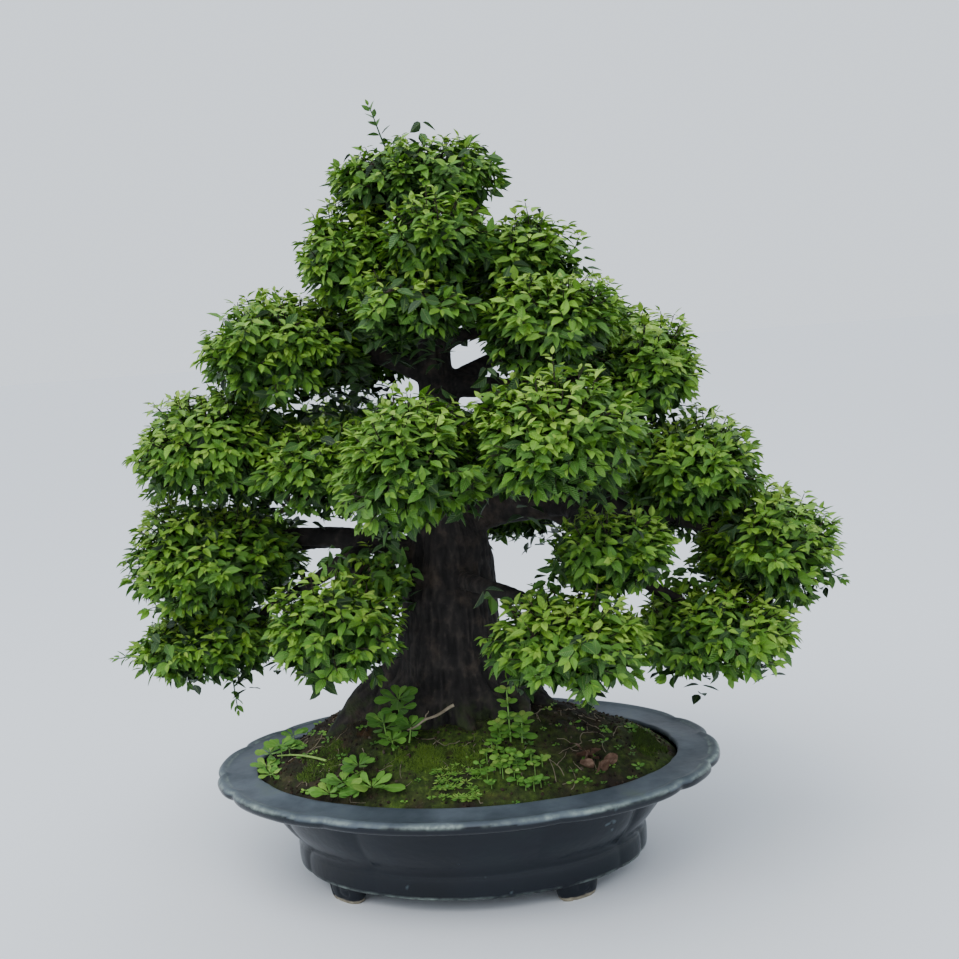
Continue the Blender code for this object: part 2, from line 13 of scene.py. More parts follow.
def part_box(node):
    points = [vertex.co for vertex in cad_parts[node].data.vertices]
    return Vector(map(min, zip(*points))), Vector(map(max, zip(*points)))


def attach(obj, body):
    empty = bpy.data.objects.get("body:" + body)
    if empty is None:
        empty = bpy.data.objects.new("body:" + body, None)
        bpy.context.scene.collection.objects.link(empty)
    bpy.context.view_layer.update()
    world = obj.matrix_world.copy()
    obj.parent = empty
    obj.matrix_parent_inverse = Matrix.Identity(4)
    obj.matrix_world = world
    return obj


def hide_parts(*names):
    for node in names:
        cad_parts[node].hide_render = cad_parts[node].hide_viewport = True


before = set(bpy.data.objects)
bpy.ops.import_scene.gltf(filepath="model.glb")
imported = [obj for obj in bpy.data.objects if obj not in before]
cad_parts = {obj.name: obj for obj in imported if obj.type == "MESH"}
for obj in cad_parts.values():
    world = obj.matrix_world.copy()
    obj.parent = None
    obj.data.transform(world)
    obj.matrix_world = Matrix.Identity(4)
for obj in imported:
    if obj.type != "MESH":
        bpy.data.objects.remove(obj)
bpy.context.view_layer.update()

# ================================================================ pot
# One stoneware body pressed in a mould: a lobed oval bowl with a broad flat lip, two drain holes
# and four scroll feet.  It is glazed dark blue-grey except on the soles; dust and lime dull the
# lip, and its top is also painted paler as a painted sky reflection.  A pale line is painted along
# the crest of its edge: part worn glaze, part painted highlight.
pot_low, pot_high = (np.array(corner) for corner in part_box("pot"))
pot_middle = np.array([*(pot_low + pot_high)[:2] / 2, 0.0])
half_pot = (pot_high - pot_low)[:2] / 2
rim_height = pot_high[2]

LOBE_DEPTH = 0.022
LIP_WIDTH = 0.042
EDGE_RADIUS = 0.006
LIP_DIP = 0.0012
WALL = 0.010
FOOT_HEIGHT = 0.016
FLOOR_TOP = 0.025
FOOT_ANGLE = math.radians(47)
FOOT_HALF_LENGTH = 0.023
FOOT_HALF_DEPTH = 0.011
DRAIN_X = 0.085
DRAIN_RADIUS = 0.014
POT_SEGMENTS = 480
# where the lip is pinched in between two lobes, in degrees round the pot
NOTCHES = np.array([13.0, 30, 64, 116, 150, 167, 193, 210, 244, 296, 330, 347, 373])
# (share of the outline, height, strength of the lobes) up the outside of the bowl
BOWL = np.array([
    (0.640, 0.0165, 0.35), (0.672, 0.0160, 0.35), (0.692, 0.0163, 0.40), (0.698, 0.0185, 0.42),
    (0.700, 0.0280, 0.45), (0.698, 0.0355, 0.48), (0.692, 0.0405, 0.55), (0.703, 0.0465, 0.68),
    (0.735, 0.0560, 0.82), (0.765, 0.0665, 0.95), (0.788, 0.0780, 1.00), (0.806, 0.0890, 1.00),
    (0.826, 0.0975, 1.00), (0.862, 0.1030, 1.00), (0.940, 0.1040, 1.00),
])


def flowing(rows, count):
    """A smooth line through rows: the cubic (1, t, t², t³)·M·(four neighbours)/2 of Catmull and
    Rom on each span, at count even steps of the row number."""
    rows = np.asarray(rows, float)
    padded = np.concatenate([2 * rows[:1] - rows[1:2], rows, 2 * rows[-1:] - rows[-2:-1]])
    place = np.linspace(0, len(rows) - 1, count)
    span = np.minimum(place.astype(int), len(rows) - 2)
    t = (place - span)[:, None]
    a, b, c, d = (padded[span + step] for step in range(4))
    cubic = 3 * b - a - 3 * c + d
    return b + 0.5 * t * (c - a + t * (2 * a - 5 * b + 4 * c - d + t * cubic))


def lobed_rings(scale, inset, height, lobes):
    """Rings of the pot.  Each is the ellipse (scale·half − inset)·(cos t, sin t), pulled in by
    1 − depth·lobes·s⁴, where s runs from −1 to 1 across every lobe."""
    scale, inset, height, lobes = np.broadcast_arrays(*map(np.atleast_1d, (scale, inset, height, lobes)))
    degrees = NOTCHES[0] + 360.0 * np.arange(POT_SEGMENTS) / POT_SEGMENTS
    lobe = np.searchsorted(NOTCHES, degrees, side="right") - 1
    across = 2 * (degrees - NOTCHES[lobe]) / np.diff(NOTCHES)[lobe] - 1
    pull = 1 - LOBE_DEPTH * lobes[:, None] * across**4
    turn = np.radians(degrees)
    x = (scale * half_pot[0] - inset)[:, None] * pull * np.cos(turn)
    y = (scale * half_pot[1] - inset)[:, None] * pull * np.sin(turn)
    z = np.repeat(height[:, None], POT_SEGMENTS, axis=1)
    return np.stack([x, y, z], axis=-1) + pot_middle


def closed_skin(rings):
    """Points and faces of a skin over rings (rows, around, 3), closed by a fan at each end."""
    rows, around = rings.shape[:2]
    points = np.concatenate([rings.reshape(-1, 3), rings[:1].mean(1), rings[-1:].mean(1)])
    index = np.arange(rows * around).reshape(rows, around)
    after = np.roll(index, -1, axis=1)
    sides = np.stack([index[:-1], after[:-1], after[1:], index[1:]], axis=-1).reshape(-1, 4)
    start = np.stack([after[0], index[0], np.full(around, rows * around)], axis=-1)
    end = np.stack([index[-1], after[-1], np.full(around, rows * around + 1)], axis=-1)
    return points, [sides, start, end]


def make_piece(name, points, faces, crease=40.0):
    """An object from points (n, 3) and face arrays, each array with one corner count.  Edges
    sharper than crease degrees stay sharp."""
    mesh = bpy.data.meshes.new(name)
    corners = np.concatenate([group.ravel() for group in faces]).astype(np.int32)
    sizes = np.concatenate([np.full(len(group), group.shape[1]) for group in faces])
    mesh.vertices.add(len(points))
    mesh.vertices.foreach_set("co", np.ascontiguousarray(points, np.float32).ravel())
    mesh.loops.add(len(corners))
    mesh.loops.foreach_set("vertex_index", corners)
    mesh.polygons.add(len(sizes))
    mesh.polygons.foreach_set("loop_start", (np.cumsum(sizes) - sizes).astype(np.int32))
    mesh.update(calc_edges=True)
    mesh.validate()
    mesh.shade_smooth()
    mesh.set_sharp_from_angle(angle=math.radians(crease))
    piece = bpy.data.objects.new(name, mesh)
    bpy.context.scene.collection.objects.link(piece)
    return piece


def points_of(piece):
    """A mesh piece's points, as an array."""
    points = np.empty(len(piece.data.vertices) * 3, np.float32)
    piece.data.vertices.foreach_get("co", points)
    return points.reshape(-1, 3).astype(float)


def set_values(piece, name, values):
    """One number for each point, which the piece's material reads by name."""
    layer = piece.data.attributes.new(name, "FLOAT", "POINT")
    layer.data.foreach_set("value", np.ascontiguousarray(values, np.float32))


def settled(piece):
    """Turn a piece's modifiers into its own mesh."""
    graph = bpy.context.evaluated_depsgraph_get()
    mesh = bpy.data.meshes.new_from_object(piece.evaluated_get(graph))
    piece.modifiers.clear()
    piece.data = mesh


def boolean(piece, other, operation):
    """Join another closed piece to this one, or cut it away, and drop the other."""
    step = piece.modifiers.new("boolean", "BOOLEAN")
    step.operation = operation
    step.solver = "EXACT"
    step.object = other
    settled(piece)
    bpy.data.objects.remove(other, do_unlink=True)


def smooth_step(low, high, value):
    """0 below low, 1 above high, and 3t² − 2t³ between."""
    t = np.clip((value - low) / (high - low), 0, 1)
    return t * t * (3 - 2 * t)


def lumps(points, size, seed=0):
    """Soft random lumps of about ±1: numbers on a grid of that size, joined by smooth steps in
    x, y and z.  The grid numbers are the fractions of a large sine of the cell's place."""
    cell = np.asarray(points, float) / size
    low = np.floor(cell)
    t = cell - low
    t = t * t * (3 - 2 * t)
    total = np.zeros(cell.shape[:-1])
    for corner in np.ndindex(2, 2, 2):
        at = low + corner
        wave = np.sin(at @ np.array([127.1, 311.7, 74.7]) + 17.3 * seed) * 43758.5453
        share = np.where(np.array(corner), t, 1 - t).prod(-1)
        total += share * (2 * (wave - np.floor(wave)) - 1)
    return total


def scroll_foot(angle, name):
    """A scroll foot: plan rings x = a·|cos u|^¾, y = b·|sin u|^¾ that widen up from the sole, with
    a spiral groove sunk in the side where the scroll turns over."""
    up = np.linspace(0, 1, 22)[:, None]
    u = np.radians(np.arange(96) * 3.75)[None, :]
    wide = 0.86 + 0.14 * up - 0.10 * (1 - up) ** 8
    rounded = np.sign(np.cos(u)) * np.abs(np.cos(u)) ** 0.75
    deep = np.sign(np.sin(u)) * np.abs(np.sin(u)) ** 0.75
    from_eye = np.hypot(rounded - 0.30, 1.1 * (up - 0.55))
    spiral = np.sin(np.arctan2(up - 0.55, rounded - 0.30) + 11.0 * from_eye)
    groove = smooth_step(0.55, 0.95, spiral) * smooth_step(0.2, 0.5, np.abs(np.sin(u)))
    x = FOOT_HALF_LENGTH * wide * rounded
    y = (FOOT_HALF_DEPTH * wide - 0.0011 * groove) * deep
    z = np.repeat(up * (FOOT_HEIGHT + 0.006), u.shape[1], axis=1)
    rise = math.atan2(half_pot[1] * math.cos(angle), -half_pot[0] * math.sin(angle))
    centre = pot_middle + (*BOWL[0, 0] * half_pot * (math.cos(angle), math.sin(angle)), 0)
    turned_x = x * math.cos(rise) - y * math.sin(rise)
    turned_y = x * math.sin(rise) + y * math.cos(rise)
    return make_piece(name, *closed_skin(np.stack([turned_x, turned_y, z], -1) + centre))


def pot_rings():
    """All rings of the pot, from the middle of its base over the lip to its floor."""
    scale, height, lobes = flowing(BOWL, 70).T
    outside = lobed_rings(scale, 0.0, height, lobes)
    turn = np.radians(np.linspace(-80, 90, 15))
    edge_in = EDGE_RADIUS * (1 - np.cos(turn))
    edge = lobed_rings(1.0, edge_in, rim_height - EDGE_RADIUS * (1 - np.sin(turn)), 1.0)
    share = np.linspace(0.06, 0.95, 16)
    across = EDGE_RADIUS + (LIP_WIDTH - EDGE_RADIUS) * share
    dip = LIP_DIP * np.minimum(1, 6 * share) + 0.0008 * np.sin(np.pi * share)
    top = lobed_rings(1.0, across, rim_height - dip, 1 - 0.7 * share)
    fall = np.array([0.0016, 0.0030, 0.0060, 0.0100, 0.0150])
    mouth = lobed_rings(1.0, LIP_WIDTH + np.array([-0.0008, 0, 0.0004, 0.0004, 0]), rim_height - fall, 0.3)
    inner_height = np.array([0.090, 0.070, 0.045, 0.031, FLOOR_TOP])
    inner = lobed_rings(np.interp(inner_height, BOWL[2:, 1], BOWL[2:, 0]), WALL, inner_height, 0.3)
    return np.concatenate([outside, edge, top, mouth, inner])


pot = make_piece("pot_glazed", *closed_skin(pot_rings()), crease=50)
for number, angle in enumerate((FOOT_ANGLE, math.pi - FOOT_ANGLE, math.pi + FOOT_ANGLE, -FOOT_ANGLE)):
    boolean(pot, scroll_foot(angle, f"foot_{number}"), "UNION")
for side in (-1, 1):
    turn = np.radians(np.arange(48) * 7.5)
    hole = np.stack([np.cos(turn) * DRAIN_RADIUS, np.sin(turn) * DRAIN_RADIUS, np.zeros(48)], -1)
    hole = hole + pot_middle + (side * DRAIN_X, 0, 0)
    rings = np.stack([hole + (0, 0, level) for level in (0.006, 0.034)])
    boolean(pot, make_piece(f"drain_hole_{side}", *closed_skin(rings)), "DIFFERENCE")
pot.data.shade_smooth()
pot.data.set_sharp_from_angle(angle=math.radians(50))

place = points_of(pot) - pot_middle
outward = np.hypot(place[:, 0] / half_pot[0], place[:, 1] / half_pot[1])
# a pale line painted along the crest of the lip's edge, part worn glaze and part painted highlight; a
# fainter worn line rings the foot of the bowl
edge_crest = np.exp(-(((place[:, 2] - rim_height + 0.0022) / 0.0016) ** 2)) * (outward > 0.955)
patchy = 0.60 + 0.55 * lumps(place, 0.035, 1) + 0.45 * lumps(place, 0.007, 2)
base_line = np.exp(-(((place[:, 2] - 0.0180) / 0.0009) ** 2)) * (outward > 0.66) * 0.7
set_values(pot, "wear_and_highlight", np.clip(edge_crest * patchy + base_line * patchy, 0, 1))
# the lip's top is painted paler: part dust and lime film, part painted reflection of the sky
lip_top = smooth_step(rim_height - 0.006, rim_height - 0.003, place[:, 2]) * (outward < 0.995)
set_values(pot, "dust_and_sky_reflection", lip_top * np.clip(0.85 + 0.3 * lumps(place, 0.05, 3), 0, 1))


def finished(piece, finish, node):
    """Give a piece its finish.  It rides on the one body and stands for a node."""
    piece.data.materials.clear()
    piece.data.materials.append(finish)
    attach(piece, "root")
    if node:
        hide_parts(node)


def screen_colour(red, green, blue):
    """A screen colour of 0 to 255 as linear light with an alpha of 1."""
    share = np.array([red, green, blue]) / 255.0
    linear = np.where(share <= 0.04045, share / 12.92, ((share + 0.055) / 1.055) ** 2.4)
    return (*linear.tolist(), 1.0)


def start_finish(name, **sockets):
    """A material whose shader sockets, named with _ for a space, hold uniform numbers."""
    finish = bpy.data.materials.new(name)
    finish.use_nodes = True
    for socket, value in sockets.items():
        finish.node_tree.nodes["Principled BSDF"].inputs[socket.replace("_", " ")].default_value = value
    return finish


def add_node(finish, kind, links=(), **settings):
    """A node with its settings.  links gives its inputs: an output to join, or a plain value."""
    node = finish.node_tree.nodes.new("ShaderNode" + kind)
    for setting, value in settings.items():
        setattr(node, setting, value)
    for socket, source in dict(links).items():
        if isinstance(source, bpy.types.NodeSocket):
            finish.node_tree.links.new(source, node.inputs[socket])
        else:
            node.inputs[socket].default_value = source
    return node


def object_place(finish):
    """The place on the piece, in metres."""
    return add_node(finish, "TexCoord").outputs["Object"]


def value_of(finish, name):
    """A number kept on the piece's points."""
    return add_node(finish, "Attribute", attribute_name=name).outputs["Fac"]


def noise(finish, scale, detail=4.0, stretch=(1, 1, 1)):
    """Cloudy noise of about 0 to 1, its place stretched first."""
    where = add_node(finish, "Mapping", {"Vector": object_place(finish), "Scale": stretch})
    links = {"Vector": where.outputs[0], "Scale": scale, "Detail": detail, "Roughness": 0.6}
    return add_node(finish, "TexNoise", links).outputs["Fac"]


def ramp(finish, source, *stops):
    """A colour ramp: stops are (place, screen colour), or (place, a number) for a linear grey."""
    node = add_node(finish, "ValToRGB", {"Fac": source})
    elements = node.color_ramp.elements
    while len(elements) < len(stops):
        elements.new(0.5)
    for element, (place, colour) in zip(elements, stops):
        element.position = place
        element.color = screen_colour(*colour) if isinstance(colour, tuple) else (*[colour] * 3, 1.0)
    return node.outputs["Color"]


def blend(finish, share, low, high):
    """Two colours mixed by a share, each an output or a screen colour."""
    node = add_node(finish, "Mix", {0: share, 6: low}, data_type="RGBA")
    if isinstance(high, tuple):
        node.inputs[7].default_value = screen_colour(*high)
    else:
        finish.node_tree.links.new(high, node.inputs[7])
    return node.outputs[2]


def maths(finish, operation, first, second=0.0):
    """One sum on numbers or outputs."""
    return add_node(finish, "Math", {0: first, 1: second}, operation=operation).outputs[0]


def feed(finish, **sources):
    """Join outputs to the shader's sockets, named with _ for a space."""
    shader = finish.node_tree.nodes["Principled BSDF"]
    for socket, source in sources.items():
        finish.node_tree.links.new(source, shader.inputs[socket.replace("_", " ")])


def relief(finish, height, depth, under=None):
    """A bump of that depth in metres, over another one if given."""
    links = {"Height": height, "Distance": depth, "Strength": 1.0}
    if under is not None:
        links["Normal"] = under
    return add_node(finish, "Bump", links).outputs[0]


glaze = start_finish("dark_glaze", IOR=1.45, Specular_IOR_Level=0.35)
cloudy = noise(glaze, 9.0, 5.0)
speck = noise(glaze, 160.0, 3.0)
glaze_colour = ramp(glaze, cloudy, (0.30, (7, 11, 18)), (0.55, (11, 18, 27)), (0.75, (17, 27, 32)))
lime = ramp(glaze, noise(glaze, 55.0, 2.0), (0.70, 0.0), (0.76, 0.5))
glaze_colour = blend(glaze, lime, glaze_colour, (84, 98, 104))
# painted sky reflection and dust on the lip's top: a pale slate mixed in where the lip faces up
dust_and_reflection_cloud = noise(glaze, 22.0, 6.0)
dust_and_reflection_colour = ramp(glaze, dust_and_reflection_cloud, (0.35, (66, 75, 84)), (0.60, (92, 102, 112)), (0.75, (96, 108, 104)))
dust_and_reflection = value_of(glaze, "dust_and_sky_reflection")
glaze_colour = blend(glaze, dust_and_reflection, glaze_colour, dust_and_reflection_colour)
# pale worn lines; the one on the lip's crest is also a painted highlight
worn_and_highlight = maths(glaze, "MULTIPLY", value_of(glaze, "wear_and_highlight"), ramp(glaze, speck, (0.35, 0.25), (0.60, 1.0)))
glaze_colour = blend(glaze, worn_and_highlight, glaze_colour, (146, 160, 152))
height = add_node(glaze, "SeparateXYZ", {0: object_place(glaze)}).outputs["Z"]
ragged = maths(glaze, "ADD", height, maths(glaze, "MULTIPLY", noise(glaze, 60.0), 0.004))
bare = ramp(glaze, maths(glaze, "MULTIPLY", ragged, 50.0), (0.26, 1.0), (0.33, 0.0))
clay = ramp(glaze, speck, (0.3, (112, 104, 88)), (0.7, (150, 142, 122)))
dullness = maths(glaze, "ADD", maths(glaze, "MAXIMUM", dust_and_reflection, bare), worn_and_highlight)
feed(
    glaze,
    Base_Color=blend(glaze, bare, glaze_colour, clay),
    Roughness=ramp(glaze, dullness, (0.0, 0.24), (1.0, 0.62)),
    Normal=relief(glaze, speck, 0.0003, relief(glaze, cloudy, 0.002)),
)
finished(pot, glaze, "pot")

# ================================================================ drain screens
# A square of black plastic mesh lies over each drain hole inside the pot and keeps the soil in.
# Its strands are woven over and under and welded where they cross.
SCREEN_PITCH = 0.0038
STRAND_RADIUS = 0.0006


def unit(vectors):
    """Vectors of length 1."""
    return vectors / np.maximum(np.linalg.norm(vectors, axis=-1, keepdims=True), 1e-9)


def tubes(paths, radii, sides):
    """Closed tubes along many paths (paths, steps, 3) at once.  A point is path + radius·(side·
    cos a + lift·sin a), where side and lift stand square to the path's direction."""
    paths = np.asarray(paths, float)
    radii = np.broadcast_to(np.asarray(radii, float), paths.shape[:2])
    forward = unit(np.gradient(paths, axis=1))
    run = np.abs(paths[:, -1] - paths[:, 0])
    reference = np.eye(3)[np.argmin(run, axis=1)][:, None, :]
    side = unit(np.cross(forward, reference))
    lift = np.cross(forward, side)
    a = 2 * np.pi * np.arange(sides) / sides
    ring = side[:, :, None] * np.cos(a)[:, None] + lift[:, :, None] * np.sin(a)[:, None]
    count, steps = paths.shape[:2]
    points = (paths[:, :, None] + radii[:, :, None, None] * ring).reshape(-1, 3)
    index = np.arange(len(points)).reshape(count, steps, sides)
    after = np.roll(index, -1, axis=2)
    walls = np.stack([index[:, :-1], after[:, :-1], after[:, 1:], index[:, 1:]], axis=-1).reshape(-1, 4)
    return points, [walls, index[:, 0, ::-1], index[:, -1]]


plastic = start_finish("black_plastic_mesh", Roughness=0.55, IOR=1.46)
plastic_tone = noise(plastic, 300.0, 2.0)
feed(plastic, Base_Color=ramp(plastic, plastic_tone, (0.3, 0.008), (0.7, 0.016)))
feed(plastic, Normal=relief(plastic, plastic_tone, 0.0001))
for node in ("drain_screen_left", "drain_screen_right"):
    low, high = (np.array(corner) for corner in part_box(node))
    middle = (low + high) / 2
    half = (high[0] - low[0]) / 2 - STRAND_RADIUS
    lines = np.arange(-half, half + 1e-6, SCREEN_PITCH)
    along = np.linspace(-half, half, 49)
    weave = 0.00035 * np.cos(np.pi * (along + half) / SCREEN_PITCH)
    sign = np.where(np.arange(len(lines)) % 2, -1.0, 1.0)[:, None]
    flat = np.broadcast_to(lines[:, None], (len(lines), len(along)))
    far = np.broadcast_to(along, flat.shape)
    lengthways = np.stack([far, flat, sign * weave], -1)
    crossways = np.stack([flat, far, -sign * weave], -1)
    points, faces = tubes(np.concatenate([lengthways, crossways]) + middle, STRAND_RADIUS, 6)
    finished(make_piece(f"{node}_mesh", points, faces), plastic, node)

# ================================================================ soil
# Gritty dark soil fills the pot and mounds up to the root flare.  Its crust is bare and brown
# under the tree and greened by algae towards the front and the right-hand edge.
SOIL_EDGE = rim_height - 0.009
MOUND_HEIGHT = 0.058
SOIL_GAP = 0.0008
half_mouth = half_pot - LIP_WIDTH


def mound(x, y):
    """The soil's height: it falls as 1 − r^2.4 from the trunk to a level edge, with a ridge over
    the thick roots at the left, where r is the elliptical radius inside the lip."""
    radius = np.minimum(np.hypot(x / half_mouth[0], y / half_mouth[1]), 1.0)
    ridge = 0.014 * np.exp(-(((x + 0.11) / 0.06) ** 2) - ((y - 0.03) / 0.05) ** 2)
    return SOIL_EDGE + MOUND_HEIGHT * (1 - radius**2.4) + ridge * (1 - radius**4)


def soil_crust(x, y):
    """The mound with its clods, which fade out at the edge."""
    flat = np.stack([x, y, np.zeros_like(x)], axis=-1)
    radius = np.minimum(np.hypot(x / half_mouth[0], y / half_mouth[1]), 1.0)
    clods = 0.0024 * lumps(flat, 0.018, 5) + 0.0014 * lumps(flat, 0.006, 6) + 0.0007 * lumps(flat, 0.0025, 7)
    return mound(x, y) + clods * (1 - 0.7 * radius**6)


wall_heights = np.array([FLOOR_TOP + 0.0006, 0.031, 0.045, 0.070, 0.090])
soil_scale = np.interp(wall_heights, BOWL[2:, 1], BOWL[2:, 0])
soil_sides = lobed_rings(soil_scale, WALL + SOIL_GAP, wall_heights, 0.3)
soil_sides[0] = lobed_rings(soil_scale[0], WALL + SOIL_GAP + 0.005, wall_heights[0], 0.3)[0]
soil_neck = lobed_rings(1.0, LIP_WIDTH + SOIL_GAP, np.array([rim_height - 0.016, SOIL_EDGE]), 0.3)
shares = np.linspace(1, 0, 90)[1:-1, None, None] ** 0.9
soil_top = (soil_neck[-1] - pot_middle) * shares
soil_top[..., 2] = soil_crust(soil_top[..., 0], soil_top[..., 1])
soil_rings = np.concatenate([soil_sides, soil_neck, soil_top + pot_middle])
soil = make_piece("soil_mound", *closed_skin(soil_rings), crease=70)
place = points_of(soil) - pot_middle
front = smooth_step(0.035, -0.075, place[:, 1]) * (1 - 0.75 * smooth_step(-0.05, -0.11, place[:, 0]))
right = smooth_step(0.12, 0.19, place[:, 0])
green = np.maximum(front * (0.35 + 0.65 * smooth_step(0.16, 0.02, place[:, 0])), 0.9 * right)
green = green * np.clip(0.75 + 0.8 * lumps(place, 0.022, 8) + 0.3 * lumps(place, 0.008, 9), 0, 1)
set_values(soil, "algae", np.clip(green, 0, 1))

earth = start_finish("damp_gritty_soil", Roughness=0.94, Specular_IOR_Level=0.25)
grit = noise(earth, 420.0, 5.0)
clod = noise(earth, 60.0, 5.0)
earth_colour = ramp(earth, clod, (0.28, (20, 17, 15)), (0.50, (44, 37, 31)), (0.72, (74, 60, 47)))
rust = ramp(earth, noise(earth, 28.0, 3.0), (0.60, 0.0), (0.72, 0.55))
earth_colour = blend(earth, rust, earth_colour, (82, 52, 34))
algae_cloud = noise(earth, 170.0, 6.0)
algae_colour = ramp(earth, algae_cloud, (0.30, (36, 50, 20)), (0.55, (66, 88, 32)), (0.75, (112, 136, 52)))
earth_colour = blend(earth, value_of(earth, "algae"), earth_colour, algae_colour)
earth_colour = blend(earth, ramp(earth, grit, (0.66, 0.0), (0.74, 0.5)), earth_colour, (120, 108, 92))
feed(earth, Base_Color=earth_colour, Normal=relief(earth, grit, 0.0012, relief(earth, clod, 0.004)))
finished(soil, earth, "soil")


def lattice_ball():
    """The 12 corners and 20 faces of a regular twenty-sided ball: (0, ±1, ±g) turned three ways."""
    g = (1 + math.sqrt(5)) / 2
    ring = [(0, a, b * g) for a in (-1, 1) for b in (-1, 1)]
    corners = np.array(ring + [(b, c, a) for a, b, c in ring] + [(c, a, b) for a, b, c in ring])
    gaps = np.linalg.norm(corners[:, None] - corners[None], axis=-1)
    near = (gaps > 0.1) & (gaps < 2.1)
    faces = []
    for a in range(12):
        for b in range(a + 1, 12):
            for c in range(b + 1, 12):
                if near[a, b] and near[b, c] and near[a, c]:
                    square = np.cross(corners[b] - corners[a], corners[c] - corners[a])
                    faces.append((a, b, c) if square @ corners[a] > 0 else (a, c, b))
    return unit(corners), np.array(faces)


def repeated(shape_points, shape_faces, copies):
    """Faces of a shape repeated copies times, its points following one another."""
    step = len(shape_points) * np.arange(copies)[:, None, None]
    return (shape_faces[None] + step).reshape(-1, shape_faces.shape[1])


def scattered(count, rng, reach=0.97):
    """Random places on the mound, within a share of the mouth, in the pot's own middle frame."""
    radius = reach * np.sqrt(rng.random(count))
    turn = 2 * np.pi * rng.random(count)
    return radius * half_mouth[0] * np.cos(turn), radius * half_mouth[1] * np.sin(turn)


rng = np.random.default_rng(11)
CRUMBS = 3200
ball_points, ball_faces = lattice_ball()
x, y = scattered(CRUMBS, rng)
size = 0.0006 + 0.0016 * rng.random(CRUMBS) ** 3
centres = np.stack([x, y, soil_crust(x, y) + 0.3 * size], -1) + pot_middle
squash = rng.uniform(0.6, 1.15, (CRUMBS, 1, 3))
ragged = rng.uniform(0.75, 1.2, (CRUMBS, len(ball_points), 1))
crumb_points = centres[:, None] + ball_points[None] * squash * ragged * size[:, None, None]
crumb_faces = [repeated(ball_points, ball_faces, CRUMBS)]
crumbs = make_piece("soil_crumbs", crumb_points.reshape(-1, 3), crumb_faces, crease=25)
set_values(crumbs, "tone", np.repeat(rng.random(CRUMBS), len(ball_points)))
grains = start_finish("soil_grains", Roughness=0.9, Specular_IOR_Level=0.25)
grain_colour = ramp(
    grains, value_of(grains, "tone"),
    (0.0, (26, 21, 17)), (0.6, (58, 46, 36)), (0.88, (84, 68, 52)), (1.0, (118, 106, 92)),
)
feed(
    grains,
    Base_Color=blend(grains, noise(grains, 500.0), grain_colour, (40, 32, 26)),
    Normal=relief(grains, noise(grains, 900.0), 0.0004),
)
finished(crumbs, grains, None)

# ================================================================ wood
# Trunk, surface roots and limbs are one growth of hard wood.  The bark is dark and finely
# ridged; the ridges run up the trunk, out along the roots and along the limbs.

# trunk: (x, y, z, radius) from the root crown to the top
TRUNK = np.array([
    (-0.004, 0.020, 0.110, 0.074), (-0.006, 0.020, 0.165, 0.066), (-0.008, 0.020, 0.205, 0.056),
    (-0.007, 0.020, 0.255, 0.051), (-0.002, 0.020, 0.305, 0.045), (0.000, 0.020, 0.345, 0.040),
    (0.002, 0.020, 0.395, 0.033), (0.003, 0.020, 0.445, 0.025), (0.001, 0.020, 0.495, 0.018),
    (0.001, 0.020, 0.530, 0.016), (0.006, 0.018, 0.580, 0.015), (0.006, 0.014, 0.630, 0.013),
    (0.002, 0.008, 0.680, 0.008),
])
# roots: (direction in degrees, reach, radius at the trunk)
ROOTS = np.array([
    (184, 0.150, 0.024), (207, 0.100, 0.017), (243, 0.080, 0.018), (272, 0.072, 0.016),
    (304, 0.080, 0.017), (338, 0.092, 0.018), (12, 0.100, 0.020), (50, 0.060, 0.016),
    (88, 0.045, 0.016), (130, 0.060, 0.018), (160, 0.090, 0.018),
])
# limbs: pad fed: (height on the trunk or the limb it forks from, radius at the start, rise)
LIMBS = {
    "low_left": (0.315, 0.015, 0.020), "middle_left": (0.385, 0.016, 0.008),
    "far_right": (0.355, 0.018, 0.030), "low_right_front": (0.300, 0.010, 0.010),
    "trunk_left": (0.290, 0.006, 0.004),
    "centre_left": (0.400, 0.012, 0.010), "centre_right": (0.425, 0.013, 0.010),
    "upper_left": (0.500, 0.011, 0.010), "upper_right": (0.495, 0.012, -0.010),
    "upper_front": (0.530, 0.009, 0.006), "breast": (0.555, 0.008, 0.006),
    "shoulder_left": (0.590, 0.009, 0.004), "shoulder_front": (0.610, 0.008, 0.004),
    "shoulder_right": (0.585, 0.009, 0.004), "back_top": (0.570, 0.009, 0.004),
    "back_upper_left": (0.500, 0.010, 0.006), "back_upper_right": (0.490, 0.010, 0.006),
    "back_middle_left": (0.380, 0.013, 0.010), "back_middle_right": (0.375, 0.013, 0.012),
    "back_low": (0.300, 0.011, 0.016), "bottom_left": ("low_left", 0.009, -0.006),
    "back_low_left": ("low_left", 0.008, 0.004), "low_left_front": ("low_left", 0.008, 0.006),
    "inner_left": ("middle_left", 0.008, 0.006), "middle_right": ("far_right", 0.010, 0.004),
    "middle_right_front": ("far_right", 0.009, 0.004), "low_right": ("far_right", 0.010, -0.004),
    "back_low_right": ("far_right", 0.009, 0.006),
}
FORK_AT = 1 / 3
STEM_STEPS = 25
ROOT_LIFT = 0.058
BARK_VOXEL = 0.0023


def plant_middle(node):
    """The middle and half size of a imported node, in the pot's own middle frame."""
    low, high = (np.array(corner) - pot_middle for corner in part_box(node))
    return (low + high) / 2, (high - low) / 2


def limb_line(start, end, rise, phase):
    """start + run·u, lifted by rise·4u(1 − u) and bent aside by 10 mm·4u(1 − u)·sin(7u + phase)."""
    u = np.linspace(0, 1, STEM_STEPS)[:, None]
    run = end - start
    aside = unit(np.array([-run[1], run[0], 0.0]))
    arch = 4 * u * (1 - u)
    knobs = 0.0016 * lumps(np.concatenate([u * 9, u * 0, u * 0 + phase], axis=1), 1.0, 21)[:, None]
    line = start + run * u + aside * (0.010 * arch * np.sin(7 * u + phase) + knobs)
    return line + arch * rise * np.array([0, 0, 1])


